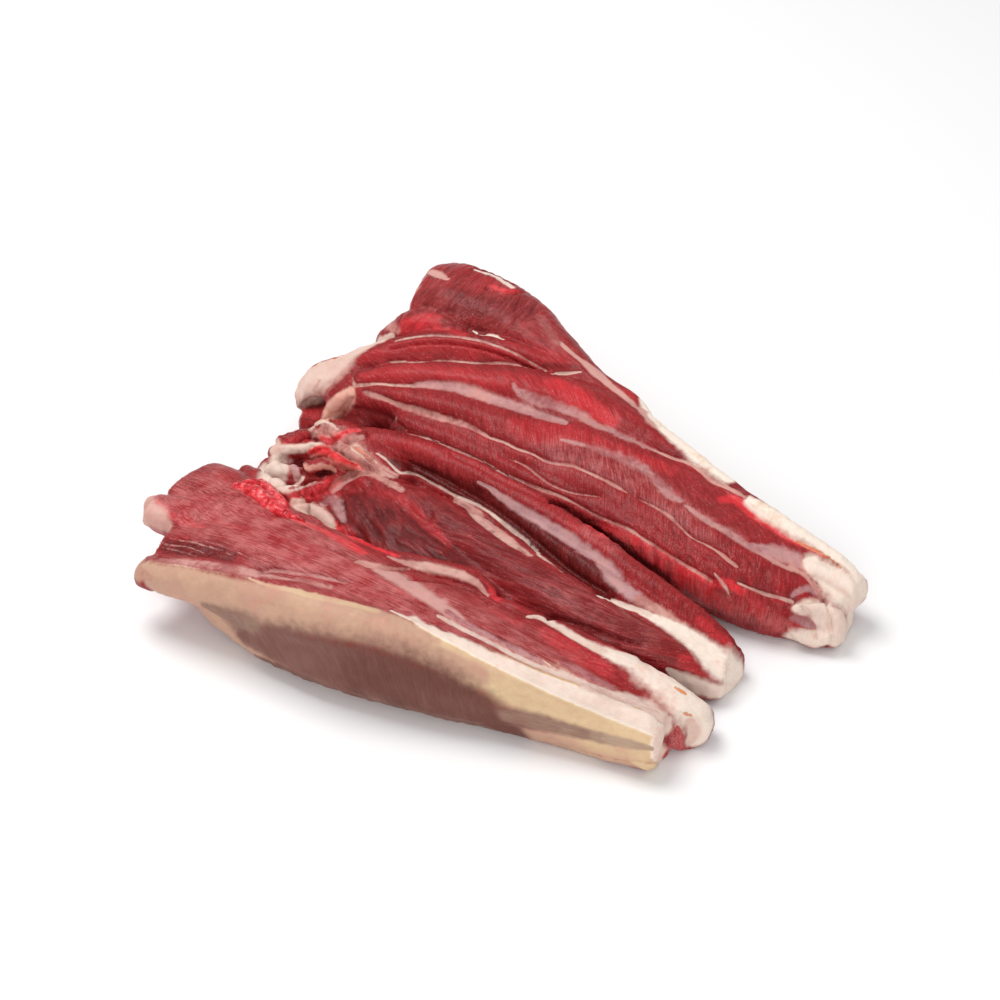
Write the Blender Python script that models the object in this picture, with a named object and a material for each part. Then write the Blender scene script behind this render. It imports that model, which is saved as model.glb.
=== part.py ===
"""Raw boneless beef shank, opened out flat.

Three bundles of muscle fan out from the knee end (-X) to their tendon ends (+X). Gristle and fat join
them at the knee, and a sheet of outer fascia joins them underneath. Every muscle is a loft through a few
stations. One union joins the muscles into a single solid, a skin is drawn over it, and its underside is
cut flat where the meat rests on the table at z = 0.
"""

import math

import bmesh
import bpy
import numpy as np
from mathutils import Vector

MM = 0.001

# How a muscle's loft is drawn
RING_POINTS = 28  # corners of one cross-section
RINGS_PER_SPAN = 4  # cross-sections from one station to the next
CAP_RINGS = 4  # cross-sections that round off an end

# The skin over the joined muscles
SKIN_VOXEL = 1.7 * MM
SKIN_SMOOTHING = 3
SKIN_TRIANGLES = 10400

# The table that the meat lies on
TABLE_SPAN = 600 * MM
TABLE_DEPTH = 60 * MM

# Each muscle: its stations, (x, y, crest height, half width, depth below the crest) in millimetres,
# "square", the exponents of its first and last cross-section, where 2 is an ellipse and more is boxier,
# "blunt", the lengths in millimetres over which its knee end and its tendon end are rounded off,
# and "lean", in degrees, which tips its top towards +Y where it is positive.
FRONT_BUNDLE = {
    "heel_belly": dict(
        stations=[
            (-116, -98, 37, 31, 20),
            (-100, -95, 42, 33, 33),
            (-74, -93, 46, 36, 49),
            (-42, -91, 47, 38, 55),
            (-7, -88, 46, 36, 54),
            (30, -83, 44, 29.5, 50),
            (68, -77, 39, 20, 43),
            (106, -70, 32, 15, 36),
            (137, -64, 27, 13, 28),
        ],
        square=(2.9, 2.0),
        blunt=(7, 4),
        lean=6,
    ),
    "heel_fat_rim": dict(
        stations=[
            (-115, -131, 34, 7, 13),
            (-94, -127, 42, 9, 20),
            (-56, -120, 49, 10, 30),
            (-13, -114, 51, 11, 30),
            (16, -105, 49, 10, 30),
            (48, -94, 45, 9, 28),
            (83, -83, 39, 8, 26),
            (114, -73, 33, 6, 20),
            (135, -68, 29, 5, 14),
        ],
        square=(2.3, 2.1),
        blunt=(5, 4),
    ),
    "heel_inner_strip": dict(
        stations=[
            (-22, -64, 34, 7, 28),
            (32, -58, 38, 12, 40),
            (64, -54, 36, 14, 38),
            (97, -49, 32, 14, 35),
            (124, -45, 28, 13, 31),
            (143, -43, 21, 12, 22),
        ],
        square=(2.6, 2.2),
        blunt=(10, 6),
    ),
    "heel_lip": dict(
        stations=[
            (-52, -68, 37, 5, 22),
            (-26, -63, 40, 6, 18),
            (-2, -54, 40, 6, 16),
            (16, -47, 38, 5, 14),
            (28, -47, 34, 4, 12),
        ],
        square=(2.2, 2.2),
        blunt=(6, 4),
    ),
    "knee_corner": dict(
        stations=[
            (-139, -72, 38, 18, 15),
            (-124, -73, 41, 20, 28),
            (-92, -76, 43, 20, 42),
            (-52, -74, 41, 14, 42),
        ],
        square=(3.8, 3.0),
        blunt=(4, 14),
        lean=4,
    ),
    "knee_tendon_tab": dict(
        stations=[
            (-142, -101, 39, 8, 11),
            (-130, -98, 41, 9, 15),
            (-110, -92, 42, 11, 20),
        ],
        square=(3.0, 2.6),
        blunt=(3, 8),
    ),
}

MIDDLE_BUNDLE = {
    "shin_bed": dict(
        stations=[
            (-110, -16, 22, 28, 26),
            (-77, -16, 26, 38, 34),
            (-27, -16, 26, 38, 34),
            (23, -18, 25, 33, 33),
            (66, -18, 23, 23, 30),
            (102, -12, 18, 15, 22),
            (131, -3, 13, 9, 15),
        ],
        square=(2.8, 2.4),
        blunt=(8, 5),
    ),
    "shin_oval": dict(
        stations=[
            (-84, -30, 25, 13, 26),
            (-64, -30, 32, 19, 36),
            (-36, -32, 34, 23, 38),
            (-2, -36, 31, 21, 36),
            (32, -39, 27, 15, 32),
            (64, -40, 21, 9, 26),
        ],
        square=(2.2, 2.2),
        blunt=(10, 14),
    ),
    "shin_long": dict(
        stations=[
            (-74, -14, 33, 8, 30),
            (-35, -15, 37, 13, 38),
            (10, -19, 37, 17, 38),
            (52, -25, 35, 17, 37),
            (86, -25, 31, 14, 33),
            (112, -18, 24, 10, 27),
            (131, -11, 16, 7, 17),
        ],
        square=(2.3, 2.2),
        blunt=(10, 7),
    ),
    "shin_dark_strip": dict(
        stations=[
            (-80, 10, 30, 6, 26),
            (-46, 12, 30, 9, 30),
            (-3, 5, 28, 11, 30),
            (36, -4, 27, 11, 30),
            (68, -10, 26, 8, 28),
        ],
        square=(2.2, 2.2),
        blunt=(10, 12),
    ),
    "shin_tendon": dict(
        stations=[
            (-35, 16, 30, 4, 20),
            (2, 9, 32, 5, 26),
            (39, 1, 33, 6, 28),
            (74, -4, 32, 8, 30),
            (104, -4, 27, 10, 28),
            (133, 0, 18, 11, 20),
        ],
        square=(2.3, 2.4),
        blunt=(8, 5),
    ),
    "shin_ridge": dict(
        stations=[
            (-98, 12, 36, 7, 30),
            (-62, 18, 39, 9, 42),
            (-24, 19, 39, 9, 42),
            (15, 16, 38, 9, 41),
            (48, 12, 37, 8, 40),
            (80, 7, 34, 7.5, 36),
            (106, 6, 29, 7, 31),
            (126, 5, 21, 6, 23),
        ],
        square=(2.5, 2.3),
        blunt=(8, 6),
    ),
}

BACK_BUNDLE = {
    "shank_slab": dict(
        stations=[
            (-130, 84, 43, 34, 44),
            (-107, 82, 49, 50, 56),
            (-82, 82, 52, 55, 60),
            (-42, 75, 51, 47, 59),
            (-2, 71, 48, 40, 55),
            (38, 63, 43, 32, 49),
            (78, 59, 39, 27, 45),
            (118, 56, 33, 23, 37),
            (152, 61, 22, 14, 24),
        ],
        square=(3.4, 2.8),
        blunt=(14, 7),
    ),
    "near_edge_strip": dict(
        stations=[
            (-86, 29, 40, 6, 30),
            (-49, 31, 41, 7, 32),
            (-12, 33, 39, 8, 30),
            (18, 37, 37, 9, 28),
            (58, 38, 35, 10, 26),
            (98, 38, 31, 10, 24),
            (128, 44, 26, 9, 24),
        ],
        square=(3.0, 2.4),
        blunt=(10, 10),
    ),
    "second_strip": dict(
        stations=[
            (-114, 33, 44, 6, 30),
            (-82, 41, 49, 9, 36),
            (-42, 49, 50, 10, 36),
            (-2, 51, 46, 10, 34),
            (38, 54, 42, 9, 30),
            (78, 48, 38, 9, 28),
            (118, 46, 31, 8, 24),
        ],
        square=(3.0, 2.6),
        blunt=(10, 12),
    ),
    "third_strip": dict(
        stations=[
            (-12, 64, 48, 6, 24),
            (12, 70, 47, 8, 26),
            (44, 72, 43, 10, 28),
            (78, 69, 40, 12, 30),
            (108, 65, 35, 13, 30),
            (134, 67, 29, 10, 26),
        ],
        square=(3.0, 2.6),
        blunt=(14, 10),
    ),
    "red_strip": dict(
        stations=[
            (-126, 34, 44, 6, 26),
            (-104, 49, 52, 9, 30),
            (-67, 66, 56, 12, 32),
            (-38, 78, 56, 14, 32),
            (-2, 88, 52, 13, 30),
            (34, 85, 46, 8, 26),
            (62, 82, 42, 5, 20),
        ],
        square=(3.0, 2.6),
        blunt=(8, 14),
    ),
    "arched_strip": dict(
        stations=[
            (-138, 48, 45, 8, 26),
            (-123, 58, 53, 10, 32),
            (-102, 74, 58, 10, 34),
            (-72, 87, 60, 8, 32),
            (-44, 95, 57, 6, 26),
        ],
        square=(2.8, 2.5),
        blunt=(6, 14),
    ),
    "knee_top_muscle": dict(
        stations=[
            (-136, 107, 63, 24, 48),
            (-120, 112, 68, 25, 60),
            (-86, 113, 67, 23, 60),
            (-56, 108, 62, 18, 56),
            (-28, 104, 55, 11, 46),
            (2, 103, 50, 6, 38),
        ],
        square=(3.1, 2.6),
        blunt=(6, 14),
        lean=-4,
    ),
    "knee_flap": dict(
        stations=[
            (-138, 74, 46, 7, 18),
            (-126, 82, 57, 10, 22),
            (-106, 90, 60, 8, 18),
            (-88, 98, 60, 4, 12),
        ],
        square=(2.2, 2.2),
        blunt=(6, 10),
    ),
    "far_fat_edge": dict(
        stations=[
            (-8, 105, 49, 6, 36),
            (28, 93, 46, 6, 38),
            (60, 85, 44, 6, 38),
            (88, 79, 42, 6, 38),
            (118, 76, 39, 6, 36),
            (140, 76, 34, 6, 28),
            (153, 74, 29, 5, 18),
        ],
        square=(2.4, 2.4),
        blunt=(14, 4),
    ),
    "near_tendon_knob": dict(
        stations=[
            (118, 47, 28, 9, 28),
            (140, 51, 22, 10, 24),
            (155, 57, 15, 9, 16),
        ],
        square=(2.4, 2.3),
        blunt=(10, 5),
    ),
    "far_tendon_end": dict(
        stations=[
            (118, 68, 34, 11, 32),
            (140, 72, 30, 10, 26),
            (155, 73, 27, 8, 16),
        ],
        square=(2.4, 2.3),
        blunt=(10, 5),
    ),
}

KNEE_JOINT = {
    "gristle_knob": dict(
        stations=[
            (-155, 27, 34, 8, 16),
            (-147, 35, 40, 11, 20),
            (-134, 48, 44, 12, 26),
            (-116, 62, 46, 11, 32),
        ],
        square=(3.0, 2.6),
        blunt=(5, 8),
    ),
    "torn_red_flap": dict(
        stations=[
            (-146, 20, 21, 7, 13),
            (-134, 25, 25, 10, 22),
            (-114, 32, 30, 13, 34),
        ],
        square=(2.2, 2.2),
        blunt=(4, 8),
    ),
    "fat_lump": dict(
        stations=[
            (-134, 30, 37, 6, 14),
            (-124, 32, 41, 8, 24),
            (-110, 36, 44, 8, 40),
        ],
        square=(2.3, 2.3),
        blunt=(5, 8),
    ),
    "junction": dict(
        stations=[
            (-124, 12, 30, 7, 22),
            (-108, 8, 35, 12, 36),
            (-86, 4, 35, 14, 38),
            (-66, -1, 33, 10, 36),
        ],
        square=(2.2, 2.2),
        blunt=(7, 10),
    ),
    "cut_end_roll": dict(
        stations=[
            (-134, -8, 28, 4, 9),
            (-126, -1, 30, 5, 11),
            (-118, 7, 31, 5, 14),
        ],
        square=(2.0, 2.0),
        blunt=(4, 4),
    ),
    "gristle_ring_far": dict(
        stations=[
            (-134, -16, 23, 5, 16),
            (-125, -9, 26, 6, 20),
            (-114, -2, 30, 6, 26),
        ],
        square=(2.4, 2.2),
        blunt=(4, 6),
    ),
    "gristle_ring_near": dict(
        stations=[
            (-134, -22, 20, 6, 19),
            (-129, -32, 19, 7, 20),
            (-118, -38, 22, 7, 24),
        ],
        square=(2.2, 2.2),
        blunt=(5, 6),
    ),
    "red_roll": dict(
        stations=[
            (-122, -32, 27, 5, 18),
            (-108, -24, 31, 6, 24),
            (-94, -12, 33, 6, 30),
        ],
        square=(2.1, 2.1),
        blunt=(5, 6),
    ),
    "peach_fat": dict(
        stations=[
            (-114, -44, 24, 10, 28),
            (-88, -45, 29, 12, 34),
            (-64, -52, 29, 9, 34),
        ],
        square=(2.3, 2.3),
        blunt=(8, 10),
    ),
    "red_jelly": dict(
        stations=[
            (-126, -48, 35, 5, 20),
            (-106, -53, 40, 7, 26),
            (-82, -59, 40, 5, 20),
        ],
        square=(2.0, 2.0),
        blunt=(5, 8),
    ),
}

# The outer fascia under the whole fan, which keeps the three bundles together.
UNDER_SHEET = {
    "under_sheet": dict(
        stations=[
            (-114, 4, 12, 72, 16),
            (-72, 0, 15, 92, 20),
            (-22, -4, 14, 84, 19),
            (28, -8, 12, 62, 16),
            (62, -10, 9, 44, 12),
        ],
        square=(3.5, 3.5),
        blunt=(18, 20),
    ),
}


def catmull_rom(stations, per_span):
    """Rows of numbers that run smoothly through the stations."""
    rows = np.array(stations, float)
    ends = np.vstack([2 * rows[0] - rows[1], rows, 2 * rows[-1] - rows[-2]])
    smooth = []
    for i in range(1, len(rows)):
        before, start, stop, after = ends[i - 1 : i + 3]
        for t in np.arange(per_span) / per_span:
            smooth.append(
                start
                + 0.5 * t * (stop - before)
                + t * t * (before - 2.5 * start + 2 * stop - 0.5 * after)
                + t * t * t * (1.5 * (start - stop) + 0.5 * (after - before))
            )
    smooth.append(rows[-1])
    return np.array(smooth)


def ring(centre, along, half_width, half_depth, square, tilt):
    """The corners of one upright cross-section, a superellipse square to the muscle's run."""
    side = Vector((-along.y, along.x, 0)).normalized()
    corners = []
    for k in range(RING_POINTS):
        angle = math.tau * k / RING_POINTS
        across = half_width * math.copysign(abs(math.cos(angle)) ** (2 / square), math.cos(angle))
        up = half_depth * math.copysign(abs(math.sin(angle)) ** (2 / square), math.sin(angle))
        turned = across * math.cos(tilt) + up * math.sin(tilt)
        raised = up * math.cos(tilt) - across * math.sin(tilt)
        corners.append(centre + side * turned + Vector((0, 0, raised)))
    return corners


def muscle_rings(stations, square, blunt, lean=0):
    """Every cross-section of a muscle, with its rounded ends, from the knee to the tendon."""
    rows = catmull_rom(stations, RINGS_PER_SPAN) * MM
    centres = [Vector((x, y, crest - depth / 2)) for x, y, crest, _, depth in rows]
    tilt = math.radians(lean)
    rings = []
    for i, (_, _, _, half_width, depth) in enumerate(rows):
        along = (centres[min(i + 1, len(rows) - 1)] - centres[max(i - 1, 0)]).normalized()
        at_end = {0: -1, len(rows) - 1: 1}.get(i, 0)
        steps = [0] if at_end == 0 else range(CAP_RINGS)
        exponent = square[0] + (square[1] - square[0]) * i / (len(rows) - 1)
        cap = []
        for step in steps:
            turn = 0.5 * math.pi * step / CAP_RINGS
            share = math.cos(turn)
            centre = centres[i] + along * blunt[max(at_end, 0)] * MM * math.sin(turn) * at_end
            cap.append(ring(centre, along, half_width * share, depth / 2 * share, exponent, tilt))
        rings.extend(reversed(cap) if at_end < 0 else cap)
    return rings


def loft(name, collection, **shape):
    """A muscle as a closed mesh object."""
    rings = muscle_rings(**shape)
    mesh = bmesh.new()
    rows = [[mesh.verts.new(corner) for corner in corners] for corners in rings]
    for lower, upper in zip(rows, rows[1:]):
        for k in range(RING_POINTS):
            nxt = (k + 1) % RING_POINTS
            mesh.faces.new((lower[k], lower[nxt], upper[nxt], upper[k]))
    mesh.faces.new(rows[0])
    mesh.faces.new(rows[-1])
    bmesh.ops.triangulate(mesh, faces=[f for f in mesh.faces if len(f.verts) > 4])
    bmesh.ops.recalc_face_normals(mesh, faces=mesh.faces)
    data = bpy.data.meshes.new(name)
    mesh.to_mesh(data)
    mesh.free()
    piece = bpy.data.objects.new(name, data)
    collection.objects.link(piece)
    return piece


def apply_modifier(piece, kind, **settings):
    modifier = piece.modifiers.new(kind.title(), kind)
    for key, value in settings.items():
        setattr(modifier, key, value)
    bpy.context.view_layer.objects.active = piece
    bpy.ops.object.modifier_apply(modifier=modifier.name)


def join_muscles(name):
    """One solid of all the muscles: the first takes in the collection of the others."""
    others = bpy.data.collections.new("muscles")
    bpy.context.scene.collection.children.link(others)
    for group in (FRONT_BUNDLE, MIDDLE_BUNDLE, BACK_BUNDLE, KNEE_JOINT):
        for muscle, shape in group.items():
            loft(muscle, others, **shape)
    body = loft(name, bpy.context.scene.collection, **UNDER_SHEET["under_sheet"])
    apply_modifier(
        body, "BOOLEAN", operation="UNION", operand_type="COLLECTION", collection=others, solver="EXACT"
    )
    for piece in list(others.objects):
        bpy.data.objects.remove(piece)
    bpy.data.collections.remove(others)
    return body


def draw_skin(body):
    """Closes a soft skin over the joined muscles and thins it to the face budget."""
    apply_modifier(body, "REMESH", mode="VOXEL", voxel_size=SKIN_VOXEL)
    apply_modifier(body, "SMOOTH", factor=0.5, iterations=SKIN_SMOOTHING)
    apply_modifier(body, "TRIANGULATE")
    apply_modifier(body, "DECIMATE", ratio=SKIN_TRIANGLES / len(body.data.polygons))


def cut_on_table(body):
    """Cuts off what lies below the table, which leaves the flat underside."""
    bpy.ops.mesh.primitive_cube_add(size=1, location=(0, 0, -TABLE_DEPTH / 2))
    table = bpy.context.object
    table.scale = (TABLE_SPAN, TABLE_SPAN, TABLE_DEPTH)
    bpy.ops.object.transform_apply(location=False, rotation=False, scale=True)
    apply_modifier(body, "BOOLEAN", operation="DIFFERENCE", object=table, solver="EXACT")
    bpy.data.objects.remove(table)


def raw_meat():
    """The finish of the meat."""
    material = bpy.data.materials.new("raw_meat")
    material.use_nodes = True
    shader = material.node_tree.nodes["Principled BSDF"]
    shader.inputs["Base Color"].default_value = (0.34, 0.035, 0.04, 1)
    shader.inputs["Roughness"].default_value = 0.38
    shader.inputs["Metallic"].default_value = 0
    return material


def main():
    for old in list(bpy.data.objects):
        bpy.data.objects.remove(old)
    shank = join_muscles("beef_shank")
    draw_skin(shank)
    cut_on_table(shank)
    shank.data.shade_smooth()
    shank.data.materials.clear()
    shank.data.materials.append(raw_meat())


main()
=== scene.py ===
"""Raw boneless beef shank, laid open on a table.

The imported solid's skin is remeshed fine. Seams, fat, fascia and meat tones are drawn as strokes in a view
and pressed onto the skin along the line of sight. Grooves, fibres and fat lobes are carved along the skin's
normals, and the skin is then parted along its two valleys into the heel, shin and shank bundles. The gristle
and torn tendon of the joint are lobes that run together with the skin. The clot is a piece of its own.
"""
import math

import bpy
import numpy as np
from mathutils import Matrix, Vector
from mathutils.bvhtree import BVHTree


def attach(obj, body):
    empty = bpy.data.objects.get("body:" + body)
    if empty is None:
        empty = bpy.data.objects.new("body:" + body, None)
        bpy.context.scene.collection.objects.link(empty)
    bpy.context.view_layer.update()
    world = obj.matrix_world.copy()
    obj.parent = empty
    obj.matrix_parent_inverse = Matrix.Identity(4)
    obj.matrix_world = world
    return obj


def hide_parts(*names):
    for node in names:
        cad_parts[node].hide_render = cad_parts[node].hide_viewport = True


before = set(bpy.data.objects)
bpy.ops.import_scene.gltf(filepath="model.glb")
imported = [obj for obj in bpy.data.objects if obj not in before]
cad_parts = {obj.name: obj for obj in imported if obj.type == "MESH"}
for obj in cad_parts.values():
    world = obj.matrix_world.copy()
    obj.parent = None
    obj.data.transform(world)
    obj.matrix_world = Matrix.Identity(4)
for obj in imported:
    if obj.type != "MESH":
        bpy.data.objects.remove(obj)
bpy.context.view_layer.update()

MM = 0.001

# views that strokes are drawn in: degrees round and degrees above; the camera stands at the main one
VIEWS = {"main": (38.0, 38.0), "far": (218.0, 25.0), "knee": (300.0, 20.0)}
VIEW_TARGET = Vector((-0.022, 0.024, 0.020))
VIEW_DISTANCE = 1.30
VIEW_LENS = 94.0
VIEW_SENSOR = 36.0
VIEW_CLIP = 20.0
VIEW_UNITS = 1000

# how strokes are sampled and pressed, in units of the view: a sample that misses the skin looks round itself
FINE_STEP = 3.0
BROAD_STEP = 8.0
LOBE_STEP = 2.5
CLOT_STEP = 2.0
SIGHT_REACHES = range(0, 16, 2)
SIGHT_TURNS = 12
LEAST_FACING = 0.35
OUT_OF_REACH = 99.0

# remesh, and the pull and push of its smoothing
SKIN_VOXEL = 0.9 * MM
SKIN_RELAX_ROUNDS = 40
CLOT_VOXEL = 0.5 * MM
CLOT_RELAX_ROUNDS = 6
RELAX_PULL = 0.5
RELAX_PUSH = -0.52
MERGE_DISTANCE = 0.01 * MM
LOBE_SINK = 0.4
TIP_FLATNESS = 0.9
SMOOTH_ANGLE = 60

# underside: what lies lower is laid flat, what is flat is thinned to this share, and relief fades in above it
UNDERSIDE_HEIGHT = 0.4 * MM
FLAT_HEIGHT = 0.01 * MM
UNDERSIDE_KEEP = 0.06
TABLE_BLEND = 3.0 * MM

# relief, in metres
PILLOW_RISE = 1.1 * MM
PILLOW_REACH = 3.5 * MM
SEAM_DEPTH = 0.9 * MM
GROOVE_REACH = 12 * MM
FIBRE_RELIEF = 0.14 * MM
FAT_RELIEF = 0.45 * MM
SWELL_RELIEF = 0.7 * MM

# torn joint: its middle in the main view, and its own relief
JOINT_PLACE = (320, 456)
JOINT_REACH = 18.0 * MM
JOINT_RELIEF = 2.2 * MM

# fibres: how far a stroke steers them, what lies beyond all strokes, and the fine and the coarse grain: what
# multiplies their traits, their place in the noise and their share
FIBRE_REACH = 60 * MM
PLAIN_WAY = (1, 0, 0)
PLAIN_TRAITS = (6, 1.5, 0.8)
GRAINS = (((1, 1, 1), 3.7, 0.75), ((1.6, 2.4, 1), 9.1, 0.45))
GRAIN_SAMPLES = 13

# noise in space: each layer has the size of its lumps, its place in the noise and its share
NOISE_SEED = 11
NOISE_CELLS = 64
FAT_LUMPS = ((5.5 * MM, 0.0, 1.0), (2.4 * MM, 5.0, 0.6))
SWELL_LUMPS = ((17 * MM, 2.0, 1.0),)
JOINT_LUMPS = ((3.4 * MM, 7.0, 1.0), (1.8 * MM, 3.0, 0.6))
CLOT_WRINKLES = ((3.2 * MM, 1.0, 1.3), (1.4 * MM, 2.0, 0.6))
WALL_PATCHES = ((15 * MM, 4.0, 0.7), (5 * MM, 8.0, 0.3))
WALL_WARMTH = ((22 * MM, 6.0, 1.0),)

# tone beside a seam: painted shade, darker where the muscle rolls under it, and painted light, a little
# brighter on its near side
PLAIN_TONE = 0.46
SEAM_SHADE = 0.12
SEAM_SHADE_REACH = 3.5 * MM
# base share of the pale film over all the meat: thin membrane and painted sheen
BASE_FILM_AND_SHEEN = 0.08

# the outer walls that carry fascia: where they start in metres, which way they face, and from which facing on
FAR_WALL_Y = 0.055
FAR_WALL_FACING = (0.1, 0.97, -0.1)
KNEE_WALL_X = -0.09
KNEE_WALL_FACING = (-0.97, 0.0, -0.1)
WALL_FACING_START = 0.25
WALL_FACING_BLEND = 0.5
WALL_COVER = 0.75

# valleys between the bundles on the table, in millimetres: x, y from the knee end to the tendon ends
NEAR_OF_TABLE = ((-190, -200), (200, -200))
HEEL_SHIN_VALLEY = ((-190, -35), (-142, -51), (-122, -42), (-102, -44), (-88, -43), (-70, -44), (-60, -48),
    (-50, -52), (-30, -51.5), (-18, -50.5), (-8, -47), (0, -44), (10, -40.5), (20, -38.5), (30, -40.5),
    (40, -42), (64, -40), (97, -35), (112, -32), (124, -32), (143, -31), (200, -30))
SHIN_SHANK_VALLEY = ((-190, 12), (-137, 16), (-112, 20), (-86, 24), (-49, 25), (-12, 26), (18, 26), (38, 27),
    (58, 27), (78, 24), (98, 24), (128, 24), (200, 24))
FAR_OF_TABLE = ((-190, 200), (200, 200))

# the knife that parts them, in metres: its foot, its height and how near its walls a point counts as cut
PARTING_FOOT = -0.01
PARTING_HEIGHT = 0.12
WALL_GAP = 0.02 * MM

# material patterns: scales in lumps per metre
BROAD_SCALE = 60.0
FINE_SCALE = 420.0
SHEEN_FILM_SCALE = 110.0
GLINT_SCALE = 1000.0
FRAY_SCALE = 260.0
FRAY_STRENGTH = 2.4
MOTTLE_RANGE = (0.28, 0.72)
PORE_SCALE = 900.0
WAVE_SCALE = 240.0
WAVE_HEIGHT = 1.6
STREAK_SCALE = 1300.0
STREAK_REACH = 2.5 * MM
STREAK_SAMPLES = 3
STREAK_RANGE = (0.41, 0.59)
CLOT_STREAK_SCALE = 330.0
CLOT_PATCH_SCALE = 160.0
MEAT_ROUGHNESS = (0.33, 0.48)
CLOT_ROUGHNESS = (0.16, 0.3)
BUMP_DISTANCE = 0.2 * MM

# colours, 0 to 255: red meat from near black to vivid, pale tissue from lilac over cream to amber
MEAT_COLOURS = ((0.0, (84, 18, 16)), (0.12, (101, 22, 23)), (0.25, (118, 26, 28)), (0.4, (137, 30, 33)),
    (0.55, (156, 34, 38)), (0.7, (176, 40, 45)), (0.85, (198, 44, 50)), (1.0, (220, 42, 50)))
PALE_COLOURS = ((0.0, (168, 124, 129)), (0.1, (186, 143, 144)), (0.2, (198, 146, 140)),
    (0.3, (206, 154, 144)), (0.38, (214, 181, 168)), (0.46, (231, 212, 198)), (0.52, (240, 224, 210)),
    (0.58, (226, 200, 164)), (0.64, (213, 183, 145)), (0.7, (201, 163, 136)), (0.76, (188, 147, 127)),
    (0.82, (208, 162, 142)), (0.88, (222, 166, 150)), (0.94, (222, 112, 84)), (1.0, (232, 146, 70)))
BROWN_COLOURS = ((0.0, (92, 52, 43)), (0.25, (112, 70, 61)), (0.5, (130, 90, 80)), (0.75, (150, 118, 102)),
    (1.0, (178, 150, 128)))
CLOT_COLOURS = ((0.0, (150, 20, 30)), (0.3, (196, 32, 42)), (0.55, (222, 58, 66)), (0.78, (228, 104, 104)),
    (1.0, (232, 168, 160)))
# pale film over the meat: thin membrane and painted sheen of the wet gloss
SHEEN_FILM_COLOUR = (210, 130, 128)
# painted glints: small pale specks that stand in for the wet meat's highlights
GLINT_COLOUR = (206, 132, 126)
BLUSH_COLOUR = (214, 146, 130)
SINEW_COLOUR = (196, 150, 128)

# studio, in metres and watts
FLOOR_SIZE = 12
FLOOR_HEIGHT = -0.0005
FLOOR_COLOUR = (0.9, 0.9, 0.9, 1)
FLOOR_ROUGHNESS = 0.9
SURROUND_STRENGTH = 0.55
LIGHT_SIZE = 0.8
LIGHT_TARGET = (0, 0, 0.02)
LIGHTS = {"key": ((-0.6, 0.0, 1.4), 15), "front": ((0.9, -1.2, 0.8), 9)}

# A stroke's points are x, y and full width in thousandths of the view's width, from its top left corner. The
# view is the main one, unless the name starts with that of another. Seams run from left to right, so that their
# far side is known.

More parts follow.
